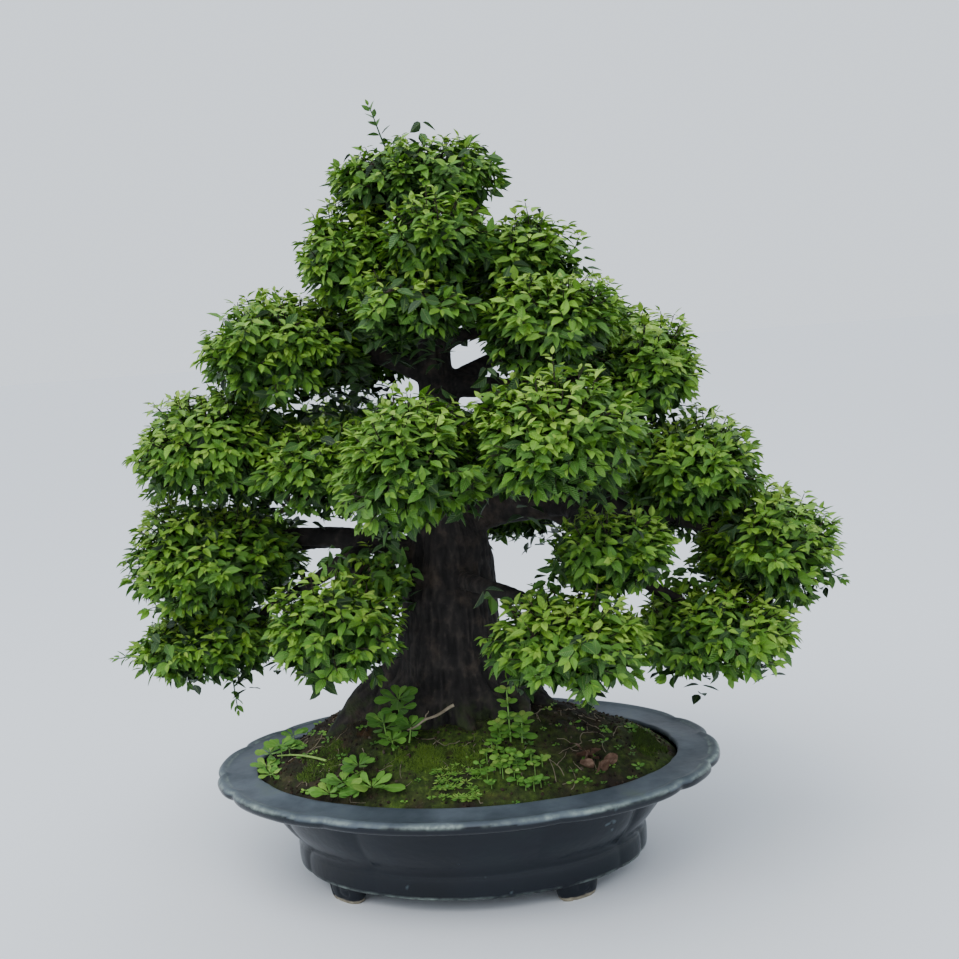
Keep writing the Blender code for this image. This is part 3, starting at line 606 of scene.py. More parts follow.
limb_lines = {}
for number, (pad, (origin, radius, rise)) in enumerate(LIMBS.items()):
    if isinstance(origin, str):
        parent = limb_lines[origin][0]
        start = parent[round(FORK_AT * (len(parent) - 1))]
    else:
        start = np.array([np.interp(origin, TRUNK[:, 2], TRUNK[:, column]) for column in range(3)])
    collar = 1 + 0.35 * np.exp(-np.linspace(0, 12, STEM_STEPS))
    swell = radius * np.linspace(1, 0.45, STEM_STEPS) * collar
    limb_lines[pad] = (limb_line(start, plant_middle(f"foliage_{pad}")[0], rise, number), swell)


def root_lines():
    """Roots: they leave the flare outward, bend a little aside and sink into the mound as
    radius·(0.3 + 0.95u²) while their lift above it fades as (1 − u)^2.2."""
    u = np.linspace(0, 1, STEM_STEPS)[None, :]
    direction, reach, radius = (column[:, None] for column in ROOTS.T)
    out = 0.030 + reach * u
    bend = np.radians(direction) + 0.25 * u * np.sin(direction) + 0.10 * np.sin(9 * u + direction)
    x = TRUNK[0, 0] + out * np.cos(bend)
    y = TRUNK[0, 1] + out * np.sin(bend) * 0.9
    z = mound(x, y) + ROOT_LIFT * (1 - u) ** 2.2 - radius * (0.30 + 0.95 * u * u)
    return np.stack([x, y, z], -1), radius * (1 - 0.62 * u)


def all_stems():
    """Points and faces of every stem as a closed tube: trunk, limbs and roots."""
    trunk = flowing(TRUNK, 60)
    paths, radii = root_lines()
    sets = [tubes(trunk[None, :, :3], trunk[None, :, 3], 28)]
    sets.append(tubes(*zip(*limb_lines.values()), 16))
    sets.append(tubes(paths, radii, 16))
    return joined(sets)


def joined(sets):
    """Several sets of points and faces as one."""
    starts = np.cumsum([0] + [len(points) for points, _ in sets[:-1]])
    faces = [group + start for (_, groups), start in zip(sets, starts) for group in groups]
    return np.concatenate([points for points, _ in sets]), faces


def grown_together(piece, size):
    """Join crossing tubes into one skin of small even faces, and smooth where they meet."""
    skin = piece.modifiers.new("skin", "REMESH")
    skin.mode = "VOXEL"
    skin.voxel_size = size
    soften = piece.modifiers.new("soften", "SMOOTH")
    soften.iterations = 4
    settled(piece)


def normals_of(piece):
    """The point normals of a mesh piece."""
    normals = np.empty(len(piece.data.vertices) * 3, np.float32)
    piece.data.vertex_normals.foreach_get("vector", normals)
    return normals.reshape(-1, 3).astype(float)


wood = make_piece("tree_bark", *all_stems())
grown_together(wood, BARK_VOXEL)
place = points_of(wood)
around_trunk = np.arctan2(place[:, 1] - TRUNK[0, 1], place[:, 0] - TRUNK[0, 0])
from_axis = np.hypot(place[:, 0] - TRUNK[0, 0], place[:, 1] - TRUNK[0, 1])
trunk_here = np.interp(place[:, 2], TRUNK[:, 2], TRUNK[:, 3])
on_trunk = 1 - smooth_step(1.15, 1.6, from_axis / trunk_here)
# ridges keep their place round the trunk and run slowly along it or out from it
run = place[:, 2] * on_trunk + from_axis * (1 - on_trunk)
sway = 0.12 * lumps(place, 0.06, 30)
turn = around_trunk + sway
wrapped = np.stack([np.cos(turn) * 9, np.sin(turn) * 9, run * 30], -1)
ridges = 1 - np.abs(lumps(wrapped, 1.0, 31))
fine_place = np.stack([np.cos(turn) * 24, np.sin(turn) * 24, run * 90], -1)
fine_ridges = 1 - np.abs(lumps(fine_place, 1.0, 32))
cracks = 1 - np.abs(lumps(place * (1, 1, 0.70), 0.007, 33))
girth = smooth_step(0.006, 0.040, np.where(on_trunk > 0.3, trunk_here, 0.010))
flare = smooth_step(0.26, 0.16, place[:, 2])
push = (0.0008 + 0.0032 * girth * (0.3 + 0.7 * flare)) * (ridges - 0.72)
push += (0.0006 + 0.0016 * girth) * (fine_ridges - 0.7) + 0.0008 * (cracks - 0.7)
push += 0.0036 * girth * lumps(place, 0.026, 34)
wood.data.vertices.foreach_set(
    "co", (place + pot_middle + normals_of(wood) * push[:, None]).astype(np.float32).ravel()
)
wood.data.update()
wood.data.shade_smooth()
set_values(wood, "ridge", np.clip(0.55 * (ridges - 0.3) + 0.45 * fine_ridges, 0, 1))
set_values(wood, "mossy", smooth_step(0.030, 0.0, place[:, 2] - mound(place[:, 0], place[:, 1])))

bark = start_finish("ridged_dark_bark", Roughness=0.86, Specular_IOR_Level=0.3)
fibre = noise(bark, 150.0, 5.0, (1, 1, 0.75))
ridge_here = value_of(bark, "ridge")
bark_colour = ramp(bark, ridge_here, (0.25, (21, 18, 17)), (0.55, (38, 34, 32)), (0.85, (62, 55, 50)))
flakes = ramp(bark, noise(bark, 45.0), (0.52, 0.0), (0.70, 0.6))
bark_colour = blend(bark, flakes, bark_colour, (80, 68, 58))
bark_colour = blend(bark, ramp(bark, fibre, (0.35, 0.45), (0.60, 0.0)), bark_colour, (16, 14, 14))
green_patches = ramp(bark, noise(bark, 70.0), (0.45, 0.0), (0.62, 0.8))
green_foot = maths(bark, "MULTIPLY", value_of(bark, "mossy"), green_patches)
bark_colour = blend(bark, green_foot, bark_colour, (50, 62, 30))
plates = relief(bark, noise(bark, 60.0, 5.0, (1, 1, 0.5)), 0.003)
feed(bark, Base_Color=bark_colour, Normal=relief(bark, fibre, 0.0016, plates))
finished(wood, bark, "tree_wood")

# ================================================================ leaf pads
# Each limb feeds a clipped pad: branchlets spread through it and end in short shoots.  The small
# pointed leaves stand in opposite pairs, lie nearly level and hang at the lower edge.  Young
# leaves at the shoot tips are yellow-green.  Leaves deep inside the pad are darker, part old leaves
# and part painted shade, and leaves high in the pad are painted lighter, as painted light from above.

# leaf outline: (share of the length, share of the half width)
TREE_LEAF = ((0.20, 0.72), (0.46, 1.00), (0.76, 0.60))
LEAF_LENGTH = 0.0162
LONGEST_LEAF = 0.0178
LEAF_HALF_WIDTH = 0.0041
LEAF_THICKNESS = 0.00030
SHOOT_SPACING = 0.0148
DEEPEST_SHOOT = 0.034
STRAY_SHARE = 0.10
UP = np.array([0.0, 0.0, 1.0])
# leaf pairs from the shoot's tip down: distance from the tip, angle from the shoot in degrees,
# share of the full length, and how much brighter than the pad
PAIR_PLACE = np.array([0.0, 0.0045, 0.0110, 0.0185, 0.0270])
PAIR_ANGLE = np.radians([20, 42, 58, 68, 76])
PAIR_LENGTH = np.array([0.55, 0.80, 1.0, 1.08, 1.0])
PAIR_TONE = np.array([0.34, 0.20, 0.06, -0.06, -0.12])
PAIRS = len(PAIR_PLACE)


def blades(base, along, face, length, half_width, fold, droop, outline, curl=0.0):
    """Closed leaf blades, all at once.  A point at share v of the length and w across lies at
    base + length·v·along + half_width·w·side + (fold·half_width·|w| − droop·length·v² −
    curl·half_width·w²)·face, with the midrib a little thicker than the edge.  Returns the points,
    the faces, the (w, v) places and the number of points in a blade."""
    stations = len(outline)
    v = np.array([0.0] + [row[0] for row in outline for _ in range(4)] + [1.0])
    w = np.array([0.0] + [row[1] * side for row in outline for side in (-1, 0, 1, 0)] + [0.0])
    thick = np.array([0.0] + [0.5, 0.5, 0.5, -0.5] * stations + [0.0]) * (w == 0) * LEAF_THICKNESS
    length, half_width, fold, droop, curl = (
        np.broadcast_to(item, len(base))[:, None] for item in (length, half_width, fold, droop, curl)
    )
    lift = half_width * (fold * np.abs(w) - curl * w * w) - droop * length * v * v + thick
    aside = np.cross(along, face)
    points = base[:, None] + (length * v)[..., None] * along[:, None]
    points = points + (half_width * w)[..., None] * aside[:, None] + lift[..., None] * face[:, None]
    left, top, right, under = (1 + 4 * np.arange(stations) + step for step in range(4))
    strips = [(left, top), (top, right), (right, under), (under, left)]
    quads = np.concatenate([np.stack([a[:-1], b[:-1], b[1:], a[1:]], -1) for a, b in strips])
    ends = [(0, b[0], a[0]) for a, b in strips] + [(a[-1], b[-1], len(v) - 1) for a, b in strips]
    faces = [repeated(points[0], group, len(base)) for group in (quads, np.array(ends))]
    marks = np.tile(np.stack([w, v], -1), (len(base), 1))
    return points.reshape(-1, 3), faces, marks, len(v)


def leaf_face(along, wish):
    """The part of a wished facing that is square to the blade."""
    return unit(wish - along * (wish * along).sum(-1, keepdims=True))


def leaning(axis, roll, angle):
    """Directions that lean by an angle from an axis, turned by roll round it: axis·cos angle +
    (first·cos roll + second·sin roll)·sin angle, where first and second stand square to it."""
    first = unit(np.cross(axis, UP + 0.01))
    second = np.cross(axis, first)
    roll, angle = roll[..., None], angle[..., None]
    return axis * np.cos(angle) + (first * np.cos(roll) + second * np.sin(roll)) * np.sin(angle)


def pad_skin(node, spacing, rng):
    """Places spread by area over a packed pad's skin, with the skin's outward directions."""
    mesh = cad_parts[node].data
    mesh.calc_loop_triangles()
    corners = np.empty(len(mesh.loop_triangles) * 3, np.int32)
    mesh.loop_triangles.foreach_get("vertices", corners)
    triangles = points_of(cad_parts[node])[corners].reshape(-1, 3, 3)
    square = np.cross(triangles[:, 1] - triangles[:, 0], triangles[:, 2] - triangles[:, 0])
    area = np.linalg.norm(square, axis=1) / 2
    count = max(12, int(area.sum() / spacing**2))
    mark = (np.arange(count) + rng.random(count)) / count
    chosen = np.searchsorted(np.cumsum(area) / area.sum(), mark).clip(0, len(area) - 1)
    first, second = rng.random((2, count, 1))
    fold_over = first + second > 1
    first, second = np.where(fold_over, 1 - first, first), np.where(fold_over, 1 - second, second)
    a, b, c = (triangles[chosen, corner] for corner in range(3))
    return a + first * (b - a) + second * (c - a), unit(square[chosen])


def leafy_pad(node, rng):
    """One pad's leaves (points, faces, places, tone), twig paths, middle and half size.  Shoots
    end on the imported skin, pushed out or in by soft lumps, and again at random depths inside it.
    Leaf pair k stands PAIR_PLACE[k] back from the tip, a quarter turn on from the pair before."""
    low, high = (np.array(corner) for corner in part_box(node))
    middle, half = (low + high) / 2, (high - low) / 2
    tips, outward = pad_skin(node, SHOOT_SPACING, rng)
    keep = rng.random(len(tips)) < np.where(outward[:, 2] < -0.35, 0.55, 1.0)
    tips, outward = tips[keep], outward[keep]
    inner_tips, inner_outward = pad_skin(node, SHOOT_SPACING * 1.15, rng)
    depth = rng.uniform(0.012, DEEPEST_SHOOT, (len(inner_tips), 1))
    depth = np.minimum(depth, 0.75 * half.min())
    tips = np.concatenate([tips, inner_tips - inner_outward * depth])
    buried = np.concatenate([np.zeros(len(outward)), depth[:, 0] / DEEPEST_SHOOT])
    outward = np.concatenate([outward, inner_outward])
    stray = rng.random(len(tips)) > 1 - STRAY_SHARE
    reach = 0.014 * lumps(tips, 0.030, 40) - 0.003 + 0.009 * stray
    tips = tips + outward * reach[:, None] * (buried == 0)[:, None]
    spread = rng.normal(0, 0.32, tips.shape)
    rising = np.where(outward[:, 2:] > 0, 0.45, 0.20)
    axis = unit(outward * (0.9, 0.9, 0.6) + UP * rising + spread)
    # no shoot runs back along the skin, or its lower leaves would hang clear of the pad
    axis = unit(axis + outward * np.maximum(0.35 - (axis * outward).sum(-1, keepdims=True), 0))
    shoot_size = rng.uniform(0.82, 1.18, (len(tips), 1, 1))
    roll = rng.uniform(0, 2 * np.pi, (len(tips), 1, 1)) + np.arange(PAIRS)[None, :, None] * np.pi / 2
    roll = roll + np.pi * np.arange(2)[None, None] + rng.normal(0, 0.25, (len(tips), PAIRS, 2))
    opening = PAIR_ANGLE[None, :, None] + rng.normal(0, 0.16, roll.shape)
    along = leaning(axis[:, None, None], roll, opening)
    along = unit(along * (1, 1, 0.60) - UP * rng.uniform(0.10, 0.55, roll.shape)[..., None])
    base = tips[:, None, None] - axis[:, None, None] * (PAIR_PLACE[None, :, None] * shoot_size)[..., None]
    base = np.broadcast_to(base, along.shape) + along * 0.0015
    wish = UP * 0.75 + outward[:, None, None] * 0.70 + rng.normal(0, 0.24, along.shape)
    length = LEAF_LENGTH * PAIR_LENGTH[None, :, None] * shoot_size * rng.uniform(0.85, 1.15, roll.shape)
    length = np.minimum(length, LONGEST_LEAF).ravel()
    # painted light and shade in the leaf tone: leaves higher in the pad are painted lighter, and shoots
    # deeper inside are painted darker, part older leaves and part painted shade
    height = (tips[:, 2] - low[2]) / (high[2] - low[2])
    tone = 0.24 + 0.34 * height - 0.34 * buried
    tone = tone[:, None, None] + PAIR_TONE[None, :, None]
    tone = tone + 0.10 * lumps(tips, 0.05, 41)[:, None, None] + rng.normal(0, 0.09, roll.shape)
    along, base, wish = (item.reshape(-1, 3) for item in (along, base, wish))
    half_width = length * LEAF_HALF_WIDTH / LEAF_LENGTH * rng.uniform(0.85, 1.15, len(base))
    fold = rng.uniform(0.20, 0.55, len(base))
    droop = rng.uniform(0.02, 0.24, len(base))
    points, faces, marks, each = blades(
        base, along, leaf_face(along, wish), length, half_width, fold, droop, TREE_LEAF,
    )
    u = np.linspace(0, 1, 6)[None, :, None]
    inside = middle + (tips - middle) * (0.30, 0.30, 0.15) - (0, 0, 0.12 * half[2])
    bow = inside + (tips - axis * 0.030 - inside) * 0.75
    twigs = inside[:, None] * (1 - u) ** 2 + 2 * u * (1 - u) * bow[:, None] + tips[:, None] * u**2
    return points, faces, marks, np.repeat(tone.ravel(), each), twigs, middle, half


def blade_place(finish):
    """How far a place is from its leaf's midrib, 0 to 1, and how far along the leaf."""
    place = add_node(finish, "SeparateXYZ", {0: add_node(finish, "UVMap", uv_map="blade").outputs[0]})
    return maths(finish, "ABSOLUTE", place.outputs["X"]), place.outputs["Y"]


leaf_green = start_finish("small_glossy_leaf", IOR=1.45, Specular_IOR_Level=0.45)
# the tone holds leaf age and random variation, plus the pads' painted light and shade
tone = value_of(leaf_green, "tone")
across, lengthwise = blade_place(leaf_green)
leaf_colour = ramp(
    leaf_green, tone,
    (0.00, (22, 46, 24)), (0.26, (50, 90, 32)), (0.48, (86, 136, 40)),
    (0.72, (124, 172, 50)), (1.00, (170, 204, 82)),
)
midrib = ramp(leaf_green, across, (0.0, 0.40), (0.10, 0.0))
leaf_colour = blend(leaf_green, midrib, leaf_colour, (140, 160, 92))
vein_rows = maths(leaf_green, "MULTIPLY", lengthwise, 44.0)
vein_slant = maths(leaf_green, "MULTIPLY", across, 14.0)
veins = maths(leaf_green, "SINE", maths(leaf_green, "SUBTRACT", vein_rows, vein_slant))
pale_veins = ramp(leaf_green, veins, (0.70, 0.0), (1.0, 0.18))
leaf_colour = blend(leaf_green, pale_veins, leaf_colour, (130, 156, 84))
blotch = ramp(leaf_green, noise(leaf_green, 90.0, 3.0), (0.35, 0.28), (0.60, 0.0))
leaf_colour = blend(leaf_green, blotch, leaf_colour, (26, 48, 22))
feed(
    leaf_green,
    Base_Color=leaf_colour,
    Roughness=ramp(leaf_green, tone, (0.0, 0.50), (1.0, 0.40)),
    Normal=relief(leaf_green, veins, 0.0002),
)

twig_bark = start_finish("young_twig_bark", Roughness=0.8, Specular_IOR_Level=0.3)
twig_cloud = noise(twig_bark, 120.0)
twig_tone = ramp(twig_bark, twig_cloud, (0.3, (34, 28, 24)), (0.6, (60, 50, 40)), (0.8, (84, 74, 56)))
feed(twig_bark, Base_Color=twig_tone, Normal=relief(twig_bark, noise(twig_bark, 400.0), 0.0004))


def leaf_piece(name, points, faces, marks, tone):
    """A piece of many blades with its blade places and tones."""
    piece = make_piece(name, points, faces, crease=32)
    corners = np.empty(len(piece.data.loops), np.int32)
    piece.data.loops.foreach_get("vertex_index", corners)
    layer = piece.data.uv_layers.new(name="blade")
    layer.data.foreach_set("uv", marks[corners].astype(np.float32).ravel())
    set_values(piece, "tone", np.clip(tone, 0, 1))
    return piece


for number, node in enumerate(sorted(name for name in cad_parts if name.startswith("foliage_"))):
    rng = np.random.default_rng(100 + number)
    points, faces, marks, tone_values, twig_paths, middle, half = leafy_pad(node, rng)
    pad_name = node.removeprefix("foliage_")
    leaves = leaf_piece(f"leaves_{pad_name}", points, faces, marks, tone_values)
    finished(leaves, leaf_green, node)
    fan = np.radians(np.arange(9) * 40 + 17 * number)
    ends = middle + np.stack([np.cos(fan), np.sin(fan), 0.35 * np.sin(2 * fan)], -1) * half * 0.62
    u = np.linspace(0, 1, 6)[None, :, None]
    branchlets = middle + (ends - middle)[:, None] * u + UP * (0.012 * np.sin(np.pi * u))
    twig_points, twig_faces = joined([
        tubes(twig_paths, np.linspace(0.0011, 0.0004, 6)[None], 5),
        tubes(branchlets, np.linspace(0.0042, 0.0014, 6)[None], 8),
    ])
    finished(make_piece(f"twigs_{pad_name}", twig_points, twig_faces), twig_bark, None)

# ================================================================ young shoots
# A few long shoots have grown out past the clipped pads.  Each is a thin brown-green stem with
# opposite pairs of small leaves and a closed pair at its tip.
SHOOT_NODES = ("shoot_top", "shoot_left", "shoot_right", "shoot_hanging")
SHOOT_OVERLAP = 0.012

# the pairs of leaves from the foot of a shoot to its tip: share of the way, angle, length, tone
SHOOT_PAIR_PLACE = np.array([0.22, 0.42, 0.60, 0.76, 0.90, 1.0])
SHOOT_PAIR_ANGLE = np.radians([66, 62, 56, 48, 34, 14])
SHOOT_PAIR_LENGTH = np.array([0.012, 0.0135, 0.0135, 0.012, 0.010, 0.007])
SHOOT_PAIR_TONE = np.array([0.26, 0.28, 0.34, 0.40, 0.48, 0.60])


def spine(node):
    """A thin node's two ends along its longest direction, the end nearer the trunk first."""
    place = points_of(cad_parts[node])
    centre = place.mean(0)
    axis = np.linalg.svd(place - centre, full_matrices=False)[2][0]
    reach = (place - centre) @ axis
    ends = centre + axis * np.array([[reach.min()], [reach.max()]])
    from_trunk = np.hypot(*(ends[:, :2] - pot_middle[:2]).T) + 2 * np.abs(ends[:, 2] - 0.25)
    return ends[np.argsort(from_trunk)]


for number, node in enumerate(SHOOT_NODES):
    rng = np.random.default_rng(300 + number)
    start, tip = spine(node)
    axis = unit(tip - start)
    start = start - axis * SHOOT_OVERLAP
    u = np.linspace(0, 1, 9)
    wobble = 0.0016 * np.sin(u * 5 + number)[:, None] * unit(np.cross(axis, UP + 0.1))
    stem = start + (tip - start) * u[:, None] + wobble
    open_angle = SHOOT_PAIR_ANGLE[:, None] + rng.normal(0, 0.1, (6, 2))
    turn = np.arange(6)[:, None] * 1.2 + np.pi * np.arange(2) + number
    along = unit(leaning(axis, turn, open_angle)).reshape(-1, 3)
    base = np.repeat(start + (tip - start) * SHOOT_PAIR_PLACE[:, None], 2, axis=0) + along * 0.001
    length = np.repeat(SHOOT_PAIR_LENGTH, 2) * rng.uniform(0.85, 1.1, 12)
    wish = UP + rng.normal(0, 0.25, along.shape)
    points, faces, marks, each = blades(
        base, along, leaf_face(along, wish), length, length * 0.25, 0.35, 0.10, TREE_LEAF,
    )
    tones = np.repeat(np.repeat(SHOOT_PAIR_TONE, 2), each)
    stem_points, stem_faces = tubes(stem[None], np.linspace(0.0010, 0.0005, 9)[None], 8)
    points, faces = joined([(points, faces), (stem_points, stem_faces)])
    marks = np.concatenate([marks, np.tile((0.5, 0.5), (len(stem_points), 1))])
    tones = np.concatenate([tones, np.full(len(stem_points), 0.1)])
    finished(leaf_piece(f"{node}_leafy", points, faces, marks, tones), leaf_green, node)

# ================================================================ moss
# Cushions of short upright moss have settled on the crust: bright and feathery at the front,
# dark at the right-hand edge, thin at the left.

# cushions: (tufts, height, tone)
MOSS = {
    "moss_front": (2600, 0.0050, 0.62),
    "moss_right": (2200, 0.0042, 0.22),
    "moss_left": (1500, 0.0034, 0.34),
}
MOSS_LEAN = 0.5
moss_green = start_finish("fresh_moss", Roughness=0.8, Specular_IOR_Level=0.3)
moss_tone = value_of(moss_green, "tone")
moss_colour = ramp(moss_green, moss_tone, (0.0, (30, 44, 18)), (0.45, (66, 94, 30)), (1.0, (136, 172, 58)))
feed(moss_green, Base_Color=blend(moss_green, noise(moss_green, 220.0), moss_colour, (58, 74, 28)))


def moss_tufts(x, y, height, width, rng):
    """Upright four-sided spikes: a ring of radius width at the foot, a point at the top, leaning."""
    count = len(x)
    turn = rng.uniform(0, np.pi, count)[:, None] + np.arange(4) * np.pi / 2
    foot = np.stack([x, y, soil_crust(x, y) - 0.0004], -1)
    ring = np.stack([np.cos(turn), np.sin(turn), np.zeros_like(turn)], -1) * width[:, None, None]
    aim = np.stack([rng.normal(0, MOSS_LEAN, count), rng.normal(0, MOSS_LEAN, count), np.ones(count)], -1)
    top = foot + aim * height[:, None]
    points = np.concatenate([foot[:, None] + ring, top[:, None]], axis=1)
    sides = np.array([(0, 1, 4), (1, 2, 4), (2, 3, 4), (3, 0, 4)])
    sole = np.array([(3, 2, 1, 0)])
    faces = [repeated(points[0], group, count) for group in (sides, sole)]
    return points.reshape(-1, 3) + pot_middle, faces


for number, (node, (count, height, tone)) in enumerate(MOSS.items()):
    rng = np.random.default_rng(400 + number)
    (x, y, _), (wide, deep, _) = plant_middle(node)
    turn = rng.uniform(0, 2 * np.pi, count)
    radius = np.sqrt(rng.random(count)) * 1.12
    x = x + wide * radius * np.cos(turn)
    y = y + deep * radius * np.sin(turn)
    inside = np.hypot(x / half_mouth[0], y / half_mouth[1]) < 0.985
    clump = lumps(np.stack([x, y, x * 0], -1), 0.012, 50 + number)
    keep = inside & (clump + 0.5 * rng.random(count) > -0.15 + 0.5 * radius**3)
    x, y, clump, kept = x[keep], y[keep], clump[keep], int(keep.sum())
    tall = height * rng.uniform(0.5, 1.25, kept) * (0.8 + 0.4 * clump)
    points, faces = moss_tufts(x, y, tall, rng.uniform(0.0005, 0.0010, kept), rng)
    tuft_tone = np.repeat(tone + 0.25 * clump + rng.normal(0, 0.12, kept), 5).reshape(-1, 5)
    tuft_tone += np.array([-0.2, -0.2, -0.2, -0.2, 0.25])
    moss = make_piece(f"{node}_tufts", points, faces, 60)
    set_values(moss, "tone", np.clip(tuft_tone.ravel(), 0, 1))
    finished(moss, moss_green, node)

# ================================================================ small plants
# Weeds have seeded themselves in the soil: flat rosettes of spoon-shaped leaves at the front
# left, an upright one behind them, a round-leaved one at the right of the trunk and low creeping
# ones along the lip.  Their leaves are soft, matt, paler than the tree's and face the light.

# leaf outlines: (share of the length, share of the half width)
SPOON_LEAF = ((0.10, 0.12), (0.32, 0.30), (0.56, 0.82), (0.76, 1.00), (0.92, 0.66))
ROUND_LEAF = ((0.10, 0.22), (0.26, 0.70), (0.52, 1.00), (0.78, 0.82), (0.93, 0.42))
LIGHT_SIDE = np.array([0.10, -0.45, 1.0])
weed_green = start_finish("soft_weed_leaf", Roughness=0.6, Specular_IOR_Level=0.35)
weed_colour = ramp(
    weed_green, value_of(weed_green, "tone"),
    (0.0, (46, 84, 36)), (0.35, (84, 140, 50)), (0.7, (132, 188, 66)), (1.0, (186, 208, 100)),
)
weed_midrib = ramp(weed_green, blade_place(weed_green)[0], (0.0, 0.5), (0.14, 0.0))
weed_colour = blend(weed_green, weed_midrib, weed_colour, (160, 192, 112))
feed(
    weed_green,
    Base_Color=blend(weed_green, noise(weed_green, 200.0), weed_colour, (84, 128, 50)),
    Normal=relief(weed_green, noise(weed_green, 350.0), 0.0004),
)


def rosette(centre, count, length, half_width, rise, outline, rng, tone):
    """Leaves round one crown: leaf k points at the golden angle times k and rises by rise
    radians, less for the outer, longer ones."""
    k = np.arange(count)
    turn = k * 2.39996 + rng.uniform(0, 6.28)
    outer = 1 - k / count
    slope = rise * (1.25 - outer) + rng.normal(0, 0.08, count)
    along = np.stack([np.cos(turn) * np.cos(slope), np.sin(turn) * np.cos(slope), np.sin(slope)], -1)
    size = (0.55 + 0.45 * outer) * rng.uniform(0.85, 1.15, count)
    base = np.broadcast_to(centre, along.shape) + along * 0.001
    points, faces, marks, each = blades(
        base, along, leaf_face(along, LIGHT_SIDE + rng.normal(0, 0.2, along.shape)), length * size,
        half_width * size, 0.15, 0.10, outline, curl=0.15,
    )
    return points, faces, marks, np.repeat(tone + 0.20 * (1 - outer) + rng.normal(0, 0.12, count), each)


def stalk(start, end, radius, tone, bow=0.0):
    """A thin stem from start to end, bowed upward by bow·4u(1 − u)."""
    u = np.linspace(0, 1, 8)[:, None]
    path = start + (end - start) * u + UP * bow * 4 * u * (1 - u)
    points, faces = tubes(path[None], np.linspace(radius, 0.6 * radius, 8)[None], 8)
    return points, faces, np.tile((0.0, 0.5), (len(points), 1)), np.full(len(points), tone)


def on_soil(x, y, above=0.0):
    """A place on the crust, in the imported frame."""
    return np.array([x, y, float(soil_crust(np.array([x]), np.array([y]))[0]) + above]) + pot_middle


def plant_piece(name, parts, node, finish):
    """One small plant from its leaf and stalk parts."""
    points, faces = joined([part[:2] for part in parts])
    marks = np.concatenate([part[2] for part in parts])
    tones = np.concatenate([part[3] for part in parts])
    finished(leaf_piece(name, points, faces, marks, tones), finish, node)


# each plant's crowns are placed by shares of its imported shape, then sized and toned
rng = np.random.default_rng(500)
(x, y, _), (wide, deep, _) = plant_middle("weed_rosette")
parts = []
for across, back, count, length, tone in (
    (0.42, -0.25, 13, 0.030, 0.56), (-0.30, 0.20, 13, 0.023, 0.48), (-0.62, -0.05, 12, 0.020, 0.44),
    (0.02, 0.75, 12, 0.019, 0.38), (-0.05, -0.30, 10, 0.017, 0.50),
):
    crown = on_soil(x + across * wide, y + back * deep, 0.003)
    parts.append(rosette(crown, count, 1.10 * length, 0.23 * length, 0.55, SPOON_LEAF, rng, tone))
plant_piece("weed_rosette_leaves", parts, "weed_rosette", weed_green)

(x, y, _), (wide, deep, tall) = plant_middle("weed_upright")
parts = []
for across, back, height, length, tone in (
    (0.15, 0.2, 1.25, 0.026, 0.40), (-0.5, -0.3, 0.70, 0.022, 0.48), (0.7, -0.4, 0.55, 0.019, 0.30),
    (-0.1, -0.9, 0.35, 0.017, 0.58),
):
    foot = on_soil(x + across * wide, y + back * deep)
    crown = foot + np.array([0.25 * wide * across, 0, height * tall])
    parts.append(stalk(foot, crown, 0.0010, 0.7))
    parts.append(rosette(crown, 12, length, 0.24 * length, 0.65, SPOON_LEAF, rng, tone))
    lower = crown - UP * 0.25 * height * tall
    parts.append(rosette(lower, 6, 0.9 * length, 0.22 * length, 0.45, SPOON_LEAF, rng, tone - 0.1))
plant_piece("weed_upright_leaves", parts, "weed_upright", weed_green)

(x, y, _), (wide, deep, tall) = plant_middle("seedlings_left")
runner_tip = on_soil(x + 0.062, y - 0.050, 0.004)
runner_foot = on_soil(x - 0.1 * wide, y - 0.2 * deep, 0.006)
parts = [stalk(runner_tip, runner_foot, 0.0013, 0.95, 0.003)]
for across, back, height, length, tone in (
    (-0.55, -0.55, 0.5, 0.017, 0.60), (0.1, -0.15, 0.9, 0.018, 0.50), (-0.7, 0.2, 0.8, 0.015, 0.56),
    (0.5, 0.6, 0.7, 0.014, 0.36), (-0.2, -1.0, 0.2, 0.016, 0.64), (0.6, -0.3, 0.5, 0.013, 0.45),
):
    foot = on_soil(x + across * wide, y + back * deep)
    crown = foot + UP * height * tall
    parts.append(stalk(foot, crown, 0.0007, 0.75))
    parts.append(rosette(crown, 10, 1.10 * length, 0.25 * length, 0.50, SPOON_LEAF, rng, tone - 0.1))
plant_piece("seedlings_left_leaves", parts, "seedlings_left", weed_green)

(x, y, _), (wide, deep, tall) = plant_middle("weed_round_leaf")
parts = []
for across, height in ((0.0, 2.0), (0.7, 1.0), (-0.6, 0.7)):
    foot = on_soil(x + across * wide, y)
    crown = foot + np.array([0.1 * across * wide, 0.0, height * tall])
    parts.append(stalk(foot, crown, 0.0009, 0.6))
    for share in np.arange(0.25, 1.01, 0.25):
        middle = foot + (crown - foot) * share
        parts.append(rosette(middle, 6, 0.0125, 0.0042, 0.35, ROUND_LEAF, rng, 0.30 + 0.45 * share))
plant_piece("weed_round_leaf_stems", parts, "weed_round_leaf", weed_green)

(x, y, _), (wide, deep, tall) = plant_middle("weed_small_leaf")
parts = []
for number in range(34):
    across, back = rng.uniform(-1.0, 1.0, 2)
    foot = on_soil(x + across * wide, np.clip(y + back * deep * 1.2, -half_mouth[1] * 0.90, 0))
    crown = foot + UP * rng.uniform(0.003, 1.1 * tall)
    parts.append(stalk(foot, crown, 0.0005, 0.5))
    length = rng.uniform(0.006, 0.010)
    parts.append(rosette(crown, 5, length, 0.0030, 0.35, ROUND_LEAF, rng, rng.uniform(0.25, 0.75)))
plant_piece("weed_small_leaf_creepers", parts, "weed_small_leaf", weed_green)

